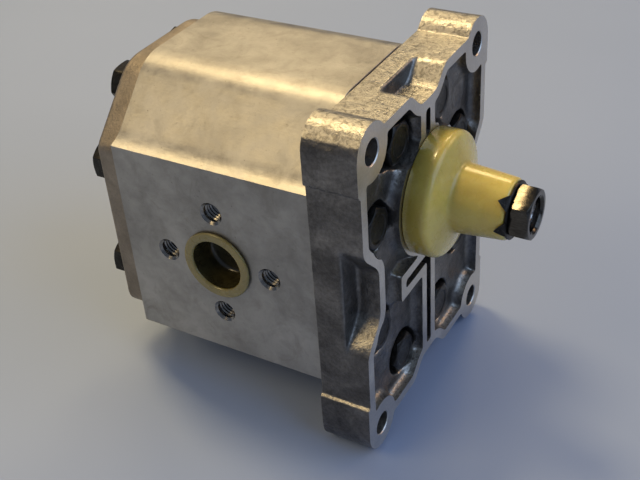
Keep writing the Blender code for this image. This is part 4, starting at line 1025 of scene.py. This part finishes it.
def body():
    """Extruded housing with fine edges, double gear bore, ports and threaded holes."""
    edge = BODY_EDGE
    outline = body_outline()
    low = BODY_LOW.x
    high = BODY_HIGH.x
    housing = loft("body_extrusion", [(low, inset(outline, edge)), (low + edge, outline),
                                      (high - edge, outline), (high, inset(outline, edge))])
    cut(housing, prism("gear_bore", double_circle(GEAR_BORE_RADIUS), low - OVERCUT,
                       high + OVERCUT))
    for port in PORTS.values():
        side = port["side"]
        face = BODY_HALF_WIDTH
        rim = PORT_EDGE
        bore = [(side * PORT_FLOOR, 0.0), (side * PORT_FLOOR, port["bore"]),
                (side * (face - rim), port["bore"]), (side * face, port["bore"] + rim),
                (side * (face + OVERCUT), port["bore"] + rim), (side * (face + OVERCUT), 0.0)]
        cut(housing, turned("port", bore, (X_MIDDLE, 0.0, Z_BODY), 96, axis="Y"))
        profile = thread_profile(face, TAPPED_DEPTH - 1.0 * MM, port["thread"], port["pitch"],
                                 side)
        for angle in (0.0, 90.0, 180.0, 270.0):
            x = X_MIDDLE + port["circle"] * math.cos(math.radians(angle))
            z = Z_BODY + port["circle"] * math.sin(math.radians(angle))
            cut(housing, turned("tapped_hole", profile, (x, 0.0, z), 48, axis="Y"))
    for end, outward, face in (("front", 1, high), ("rear", -1, low)):
        for _, y, z in bolt_nodes(end):
            ends = sorted((face + outward * OVERCUT, face - outward * BOLT_HOLE_DEPTH))
            cut(housing, cylinder("bolt_hole", (0.0, y, z), BOLT_HOLE_RADIUS, *ends, 40))
    for name in ("front_dowel_1", "front_dowel_2", "rear_dowel_1", "rear_dowel_2"):
        dowel_low, dowel_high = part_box(name)
        middle = (dowel_low + dowel_high) / 2
        cut(housing, cylinder("dowel_hole", (0.0, middle.y, middle.z),
                              DOWEL_HOLE_RADIUS, dowel_low.x - GAP, dowel_high.x + GAP, 32))
    housing.data.materials.append(BODY_SKIN)
    housing.data.materials.append(CUT_METAL)
    indices = [body_face_finish(face) for face in housing.data.polygons]
    finish_piece(housing, "housing", "body", [BODY_SKIN, CUT_METAL])
    housing.data.polygons.foreach_set("material_index", indices)


def body_face_finish(face):
    """1 for faces inside the bores and holes, 0 for the outer skin."""
    middle = face.center
    for port in PORTS.values():
        if middle.y * port["side"] < 0 or abs(face.normal.y) > 0.999:
            continue
        x = middle.x - X_MIDDLE
        z = middle.z - Z_BODY
        for px, pz in ((1, 0), (-1, 0), (0, 1), (0, -1)):
            reach = math.hypot(x - px * port["circle"], z - pz * port["circle"])
            if reach < port["thread"] + 0.6 * MM:
                return 1
        if math.hypot(x, z) < port["bore"] + 0.7 * MM:
            return 1
    return 0


# Rear cover

def rear_cover():
    """Cast end cover with a rounded back edge and bolt holes."""
    outline = rear_outline()
    low = REAR_LOW.x
    high = REAR_HIGH.x
    layers = [(high, outline)]
    for angle in range(0, 91, 15):
        turn = math.radians(angle)
        layers.append((low + REAR_EDGE_RADIUS * (1.0 - math.sin(turn)),
                       inset(outline, REAR_EDGE_RADIUS * (1.0 - math.cos(turn)))))
    cover = loft("rear_cover_casting", layers)
    for _, y, z in bolt_nodes("rear"):
        cut(cover, cylinder("bolt_hole", (0.0, y, z), BOLT_HOLE_RADIUS, low - OVERCUT,
                            high + OVERCUT, 40))
    cover.data.materials.append(REAR_SKIN)
    finish_piece(cover, "housing", "rear_cover", [REAR_SKIN], 25.0)


# Fasteners

def hexagon(centre, flats, turn):
    """Outline of a hexagon with the given width across flats, turned in degrees."""
    radius = flats / math.sqrt(3.0)
    return [(centre[0] + radius * math.cos(math.radians(turn + 60.0 * side)),
             centre[1] + radius * math.sin(math.radians(turn + 60.0 * side)))
            for side in range(6)]


def bolt_mesh():
    """One flange bolt along +X from its seat at x = 0: collar, chamfered hexagon and shank."""
    top = BOLT_COLLAR + BOLT_HEAD
    corner = BOLT_FLATS / math.sqrt(3.0)
    flat = BOLT_FLATS / 2 * 0.94
    drop = (corner - flat) * math.tan(math.radians(28.0))
    head = prism("head", hexagon((0.0, 0.0), BOLT_FLATS, 30.0), BOLT_COLLAR - 0.6 * MM, top)
    trim = [(top + OVERCUT, 0.0), (top + OVERCUT, flat - 1.0 * MM), (top, flat),
            (top - drop, corner), (top - drop - 0.01 * MM, corner + OVERCUT),
            (-OVERCUT, corner + OVERCUT), (-OVERCUT, 0.0)]
    combine(head, turned("trim", trim, (0.0, 0.0, 0.0), 72), "INTERSECT")
    cut(head, turned("dish", [(top - 0.35 * MM, 0.0), (top - 0.35 * MM, flat - 2.2 * MM),
                              (top + OVERCUT, flat - 0.9 * MM), (top + OVERCUT, 0.0)],
                     (0.0, 0.0, 0.0), 64))
    bevel(head, 0.25 * MM, 2, 20.0)
    tip = -18.0 * MM
    profile = [(tip, 0.0), (tip, BOLT_RADIUS - 0.8 * MM), (tip + 0.8 * MM, BOLT_RADIUS),
               (0.0, BOLT_RADIUS), (0.0, BOLT_COLLAR_RADIUS - 0.2 * MM),
               (0.2 * MM, BOLT_COLLAR_RADIUS), (0.7 * MM, BOLT_COLLAR_RADIUS),
               (1.0 * MM, BOLT_COLLAR_RADIUS - 0.25 * MM),
               (BOLT_COLLAR, BOLT_COLLAR_RADIUS - 1.3 * MM),
               (BOLT_COLLAR + 0.4 * MM, BOLT_FLATS / 2 - 0.4 * MM), (BOLT_COLLAR + 0.4 * MM, 0.0)]
    bolt = turned("bolt", profile, (0.0, 0.0, 0.0), 64)
    join(bolt, head)
    return bolt


def bolts():
    """Sixteen bolts that share one mesh, turned to different angles."""
    master = bolt_mesh()
    master.data.materials.clear()
    master.data.materials.append(BLACK)
    shade(master, 28.0)
    for end, outward in (("front", 1), ("rear", -1)):
        for index, (node, y, z) in enumerate(bolt_nodes(end)):
            low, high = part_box(node)
            top = high.x if outward > 0 else low.x
            seat = top - outward * (BOLT_COLLAR + BOLT_HEAD)
            piece = bpy.data.objects.new(f"{node}_steel", master.data)
            bpy.context.scene.collection.objects.link(piece)
            spin = Matrix.Rotation(math.radians(17.0 * index + 8.0), 4, "X")
            face = Matrix.Rotation(0.0 if outward > 0 else math.pi, 4, "Z")
            piece.matrix_world = Matrix.Translation((seat, y, z)) @ face @ spin
            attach(piece, "housing")
            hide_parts(node)
    bpy.data.objects.remove(master)


def shaft_nut():
    """Chamfered hexagon nut with a countersunk bore."""
    back = NUT_LOW.x
    front = NUT_HIGH.x
    corner = NUT_FLATS / math.sqrt(3.0)
    flat = NUT_FLATS / 2 * 0.97
    drop = (corner - flat) * math.tan(math.radians(32.0))
    nut = prism("shaft_nut_steel", hexagon((0.0, Z_DRIVE), NUT_FLATS, NUT_TURN), back, front)
    keep = [(back, 0.0), (back, flat + 0.4 * MM), (back + drop * 0.8, corner),
            (back + drop * 0.8, corner + OVERCUT), (front - drop, corner + OVERCUT),
            (front - drop, corner), (front, flat), (front, 0.0)]
    combine(nut, turned("keep", keep, (0.0, 0.0, Z_DRIVE), 96), "INTERSECT")
    mouth = THREAD_RADIUS + 0.3 * MM
    bore = [(back - OVERCUT, 0.0), (back - OVERCUT, mouth), (front - 1.1 * MM, mouth),
            (front, mouth + 1.1 * MM), (front + OVERCUT, mouth + 1.1 * MM), (front + OVERCUT, 0.0)]
    cut(nut, turned("bore", bore, (0.0, 0.0, Z_DRIVE), 72))
    bevel(nut, 0.3 * MM, 3, 20.0)
    finish_piece(nut, "drive_shaft", "shaft_nut", [NUT_STEEL], 25.0)


def tab_washer():
    """Thin washer with four pointed tabs bent back over the cap's end."""
    back = WASHER_HIGH.x - WASHER_THICKNESS
    front = WASHER_HIGH.x
    hole = THREAD_RADIUS + 0.3 * MM
    rim = WASHER_RADIUS
    ring = [(back, hole), (front, hole), (front, rim - 0.25 * MM), (front - 0.25 * MM, rim),
            (back, rim)]
    washer = turned("tab_washer_steel", ring, (0.0, 0.0, Z_DRIVE), 96)
    for turn in TAB_TURNS:
        join(washer, washer_tab(front, math.radians(turn)))
    bevel(washer, 0.12 * MM, 1, 30.0)
    finish_piece(washer, "drive_shaft", "tab_washer", [BLACK], 35.0)


def washer_tab(front, angle, rows=8):
    """A pointed tab that curls outwards over the edge and then runs back."""
    def place(x, radius, side):
        y = radius * math.cos(angle) - side * math.sin(angle)
        z = radius * math.sin(angle) + side * math.cos(angle)
        return (x, y, Z_DRIVE + z)

    def fill(shape):
        layers = []
        for row in range(rows + 1):
            share = row / rows
            bend = min(share * 3.0, 1.0)
            x = front - 0.05 * MM - (TAB_LENGTH - 0.1 * MM) * share
            lean = WASHER_RADIUS - 0.5 * MM + 2.4 * MM * share + 0.1 * MM * math.sin(bend * math.pi)
            half = TAB_HALF_WIDTH * (1.0 - 0.97 * share ** 1.25)
            layers.append([shape.verts.new(place(x, lean, -half)),
                           shape.verts.new(place(x, lean, half)),
                           shape.verts.new(place(x, lean + TAB_THICKNESS, half)),
                           shape.verts.new(place(x, lean + TAB_THICKNESS, -half))])
        shape.faces.new(layers[0])
        shape.faces.new(layers[-1])
        for first, second in zip(layers, layers[1:]):
            for index in range(4):
                after = (index + 1) % 4
                shape.faces.new((first[index], first[after], second[after], second[index]))
    return new_object("tab", mesh_from("tab", fill))


# Gears

def thread_rings(start, end, radius, pitch):
    """(along, radius) points of an outer thread drawn as V rings."""
    points = []
    along = start
    while along + pitch < end:
        points += [(along, radius - 0.9 * MM), (along + 0.44 * pitch, radius),
                   (along + 0.56 * pitch, radius)]
        along += pitch
    return points


def drive_gear():
    """Driving gear and shaft, with a thread and a centre drilling in its coupling end."""
    half = GEAR_WIDTH / 2
    core = CENTRE_DISTANCE / 2 - ADDENDUM - ROOT_CLEARANCE - 1.0 * MM
    lead = 0.8 * MM
    back = DRIVE_LOW.x
    end = DRIVE_HIGH.x
    block_front = BODY_HIGH.x - 0.3 * MM
    small = TAPER_RADIUS - TAPER_RATE * (TAPER_FRONT - TAPER_BACK)
    profile = [(back, 0.0), (back, JOURNAL_RADIUS - lead), (back + lead, JOURNAL_RADIUS),
               (X_MIDDLE - half + lead, JOURNAL_RADIUS), (X_MIDDLE - half + lead, core),
               (X_MIDDLE + half - lead, core), (X_MIDDLE + half - lead, JOURNAL_RADIUS),
               (block_front, JOURNAL_RADIUS), (block_front, SHAFT_RADIUS),
               (TAPER_BACK - lead, SHAFT_RADIUS), (TAPER_BACK, TAPER_RADIUS),
               (TAPER_FRONT, small), (TAPER_FRONT, THREAD_RADIUS - 0.9 * MM)]
    profile += thread_rings(TAPER_FRONT + 0.2 * MM, end - 1.0 * MM, THREAD_RADIUS, THREAD_PITCH)
    profile += [(end - lead, THREAD_RADIUS - 0.6 * MM), (end, THREAD_RADIUS - 1.3 * MM),
                (end, 2.9 * MM), (end - 1.6 * MM, 1.9 * MM), (end - 4.0 * MM, 1.7 * MM),
                (end - 4.8 * MM, 0.0)]
    gear = turned("drive_gear_steel", profile, (0.0, 0.0, Z_DRIVE), 96)
    join(gear, prism("teeth", gear_outline(Z_DRIVE, -90.0), X_MIDDLE - half, X_MIDDLE + half))
    key_low, key_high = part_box("woodruff_key")
    middle = (key_low + key_high) / 2
    radius = (key_high.x - key_low.x) / 2 + 0.3 * MM
    cutter = turned("key_slot", [(-2.3 * MM, 0.0), (-2.3 * MM, radius), (2.3 * MM, radius),
                                 (2.3 * MM, 0.0)], (middle.x, 0.0, key_high.z - 1.4 * MM), 64,
                    axis="Y")
    cut(gear, cutter)
    finish_piece(gear, "drive_shaft", "drive_gear", [STEEL])


def driven_gear():
    """Driven gear with a journal at each end."""
    half = GEAR_WIDTH / 2
    core = CENTRE_DISTANCE / 2 - ADDENDUM - ROOT_CLEARANCE - 1.0 * MM
    lead = 0.8 * MM
    outer = (DRIVEN_HIGH.x - DRIVEN_LOW.x) / 2
    ends = [(outer, 0.0), (outer, JOURNAL_RADIUS - lead), (outer - lead, JOURNAL_RADIUS),
            (half - lead, JOURNAL_RADIUS), (half - lead, core)]
    profile = [(X_MIDDLE - along, radius) for along, radius in ends]
    profile += [(X_MIDDLE + along, radius) for along, radius in reversed(ends)]
    gear = turned("driven_gear_steel", profile, (0.0, 0.0, Z_DRIVEN), 96)
    join(gear, prism("teeth", gear_outline(Z_DRIVEN, 90.0 + 180.0 / TEETH), X_MIDDLE - half,
                     X_MIDDLE + half))
    finish_piece(gear, "driven_shaft", "driven_gear", [STEEL])


# Nylon caps

def rounded(corner, before, after, reach, steps=8):
    """Points that round a profile's corner between the points before and after it."""
    corner = Vector(corner)
    start = corner + (Vector(before) - corner).normalized() * reach
    end = corner + (Vector(after) - corner).normalized() * reach
    points = []
    for step in range(steps + 1):
        share = step / steps
        points.append(tuple(start * (1 - share) ** 2 + corner * 2 * share * (1 - share)
                            + end * share ** 2))
    return points


def shaft_cap():
    """Moulded cap: skirt over the pilot, a swept shoulder and a tapering stem."""
    back = CAP_LOW.x
    end = CAP_HIGH.x
    skirt = back + CAP_SKIRT_LENGTH
    stem = skirt + CAP_SHOULDER_LENGTH
    skirt_radius = CAP_HIGH.y
    wall = CAP_WALL
    roof = X_FACE + PILOT_HEIGHT + GAP

    def stem_at(x):
        return CAP_STEM_RADIUS - CAP_STEM_TAPER * (x - stem)

    corners = [(skirt, skirt_radius, 2.4 * MM), (stem, CAP_STEM_RADIUS, 1.6 * MM)]
    outer = [(back, skirt_radius - 0.5 * MM), (back + 0.5 * MM, skirt_radius)]
    after = [(stem, CAP_STEM_RADIUS), (end, stem_at(end))]
    before = outer[-1]
    for (x, radius, reach), following in zip(corners, after):
        outer += rounded((x, radius), before, following, reach)
        before = (x, radius)
    fillet = CAP_END_FILLET
    outer += [(end - fillet - 0.4 * MM, stem_at(end - fillet))]
    for angle in range(15, 91, 15):
        turn = math.radians(angle)
        outer.append((end - fillet + fillet * math.sin(turn),
                      stem_at(end) - fillet + fillet * math.cos(turn)))
    hole = THREAD_RADIUS + GAP
    inner_end = end - CAP_END_WALL
    inner = [(end, hole), (inner_end, hole), (inner_end, stem_at(inner_end) - wall),
             (roof + wall + 1.0 * MM, stem_at(roof + wall) - wall),
             (roof + 0.6 * MM, stem_at(roof) + 2.0 * MM), (roof, PILOT_RADIUS + GAP),
             (back, PILOT_RADIUS + GAP)]
    cap = turned("shaft_protector_cap_nylon", outer + inner, (0.0, 0.0, Z_DRIVE), 160)
    finish_piece(cap, "drive_shaft", "shaft_protector_cap", [CAP_NYLON], 50.0)


def port_plug(name, body_name):
    """Push-in cup with a rounded rim."""
    port = PORTS[name]
    node = f"{name}_port_plug"
    low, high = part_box(node)
    side = port["side"]
    face = BODY_HALF_WIDTH + GAP
    top = high.y if side > 0 else -low.y
    end = -high.y if side < 0 else low.y
    rim = (high.x - low.x) / 2
    stem = port["bore"] - GAP
    cup = stem - PLUG_WALL
    floor = end + PLUG_FLOOR
    profile = [(end, 0.0), (end, stem - 1.4 * MM), (end + 0.4 * MM, stem - 0.6 * MM),
               (end + 1.2 * MM, stem - 0.1 * MM), (face - 2.6 * MM, stem),
               (face, stem), (face, rim - 0.3 * MM)]
    half = (top - face) / 2
    for angle in range(-75, 91, 15):
        turn = math.radians(angle)
        profile.append((face + half + half * math.sin(turn), rim - half + half * math.cos(turn)))
    for angle in range(0, 91, 15):
        turn = math.radians(angle)
        profile.append((top - PLUG_LIP + PLUG_LIP * math.cos(turn),
                        cup + PLUG_LIP - PLUG_LIP * math.sin(turn)))
    profile += [(floor + 2.0 * MM, cup - 0.5 * MM), (floor + 0.7 * MM, cup - 0.9 * MM),
                (floor + 0.1 * MM, cup - 1.9 * MM), (floor, cup - 3.0 * MM), (floor, 0.0)]
    plug = turned(f"{node}_nylon", [(side * along, radius) for along, radius in profile],
                  (X_MIDDLE, 0.0, Z_BODY), 128, axis="Y")
    finish_piece(plug, body_name, node, [PLUG_NYLON, PLUG_INSIDE_SHADE], 50.0)
    # painted shade: faces inside the cup get the near-black material
    for polygon in plug.data.polygons:
        middle = polygon.center
        reach = math.hypot(middle.x - X_MIDDLE, middle.z - Z_BODY)
        inside = end + 0.5 * MM < side * middle.y < top - 1.6 * MM
        polygon.material_index = 1 if inside and reach < cup + 0.2 * MM else 0


# Pieces kept from the frame

def dress_kept_nodes():
    """Procedural finishes for the inner pieces that stay as the frame gives them."""
    slots = {part["node"]: part["material_slot"] for part in RECORD["subparts"]}
    for name, node in frame["nodes"].items():
        finish = INNER.get(slots[name])
        if finish:
            node.data.materials.clear()
            node.data.materials.append(finish)


# Stage

def table():
    """A pale cloth table that the lower lugs and the body's rear edge rest on."""
    slope = REAR_EDGE_LIFT / (X_BACK - BODY_LOW.x)

    def fill(shape):
        reach = 3.0
        corners = [(-reach, -reach), (reach, -reach), (reach, reach), (-reach, reach)]
        shape.faces.new([shape.verts.new((x, y, (X_BACK - x) * slope)) for x, y in corners])
    floor = new_object("table", mesh_from("table", fill))
    made = Recipe("table_surface", 0.0, 0.55)
    broad = made.noise(0.35, 3.0, 0.5)
    made.colour(made.ramp(broad, [(0.3, (0.315, 0.39, 0.55)), (0.7, (0.34, 0.415, 0.58))]))
    made.bump((made.noise(1.5 * MM, 3.0), 0.02 * MM))
    floor.data.materials.append(made.material)


def area_light(name, direction, distance, size, energy, colour, stretch=1.0):
    """A soft light that faces the pump's middle."""
    data = bpy.data.lights.new(name, "AREA")
    data.shape = "RECTANGLE"
    data.size = size
    data.size_y = size * stretch
    data.energy = energy
    data.color = colour
    lamp = bpy.data.objects.new(name, data)
    bpy.context.scene.collection.objects.link(lamp)
    middle = Vector((0.0, 0.0, Z_BODY))
    aim = Vector(direction).normalized()
    lamp.location = middle + aim * distance
    lamp.rotation_euler = aim.to_track_quat("Z", "Y").to_euler()


def lights():
    """Warm lights above and behind the pump, and a cool one from the viewer's right."""
    warm = (1.0, 0.75, 0.38)
    area_light("warm_overhead", (-0.337, 0.118, 0.934), 1.716, 0.34, 11.0, warm)
    area_light("warm_bands", (-0.576, 0.183, 0.796), 1.7, 0.4, 4.0, warm)
    area_light("warm_back_left", (-0.46, 0.60, 0.62), 1.7, 0.6, 3.6, warm)
    area_light("warm_back", (-0.13, 0.74, 0.66), 1.7, 0.4, 4.4, warm)
    area_light("warm_ceiling", (-0.45, -0.58, 0.67), 1.6, 0.7, 6.5, warm)
    area_light("bronze_right", (0.55, 0.72, 0.40), 1.5, 0.45, 2.2, (1.0, 0.62, 0.32))
    area_light("cool_right", (0.86, 0.05, 0.52), 1.6, 1.6, 11.0, (0.5, 0.68, 1.0))
    world = bpy.data.worlds.new("room")
    bpy.context.scene.world = world
    world.use_nodes = True
    background = world.node_tree.nodes["Background"]
    background.inputs["Color"].default_value = (0.62, 0.75, 1.0, 1.0)
    background.inputs["Strength"].default_value = 0.2


def camera():
    """The viewing angle, with plain colours."""
    bpy.context.scene.view_settings.view_transform = "Standard"
    data = bpy.data.cameras.new("camera")
    data.lens = CAMERA_LENS
    data.sensor_width = SENSOR_WIDTH
    data.clip_start = 0.01
    eye = bpy.data.objects.new("camera", data)
    bpy.context.scene.collection.objects.link(eye)
    backwards = CAMERA_RIGHT.cross(CAMERA_UP).normalized()
    axes = Matrix((CAMERA_RIGHT, CAMERA_UP, backwards)).transposed()
    eye.matrix_world = Matrix.Translation(CAMERA_PLACE) @ axes.to_4x4()
    bpy.context.scene.camera = eye


def build():
    """Every piece, then the stage."""
    front_cover()
    body()
    rear_cover()
    bolts()
    drive_gear()
    driven_gear()
    shaft_nut()
    tab_washer()
    shaft_cap()
    port_plug("inlet", "inlet_plug")
    port_plug("outlet", "outlet_plug")
    dress_kept_nodes()
    table()
    lights()
    camera()


build()
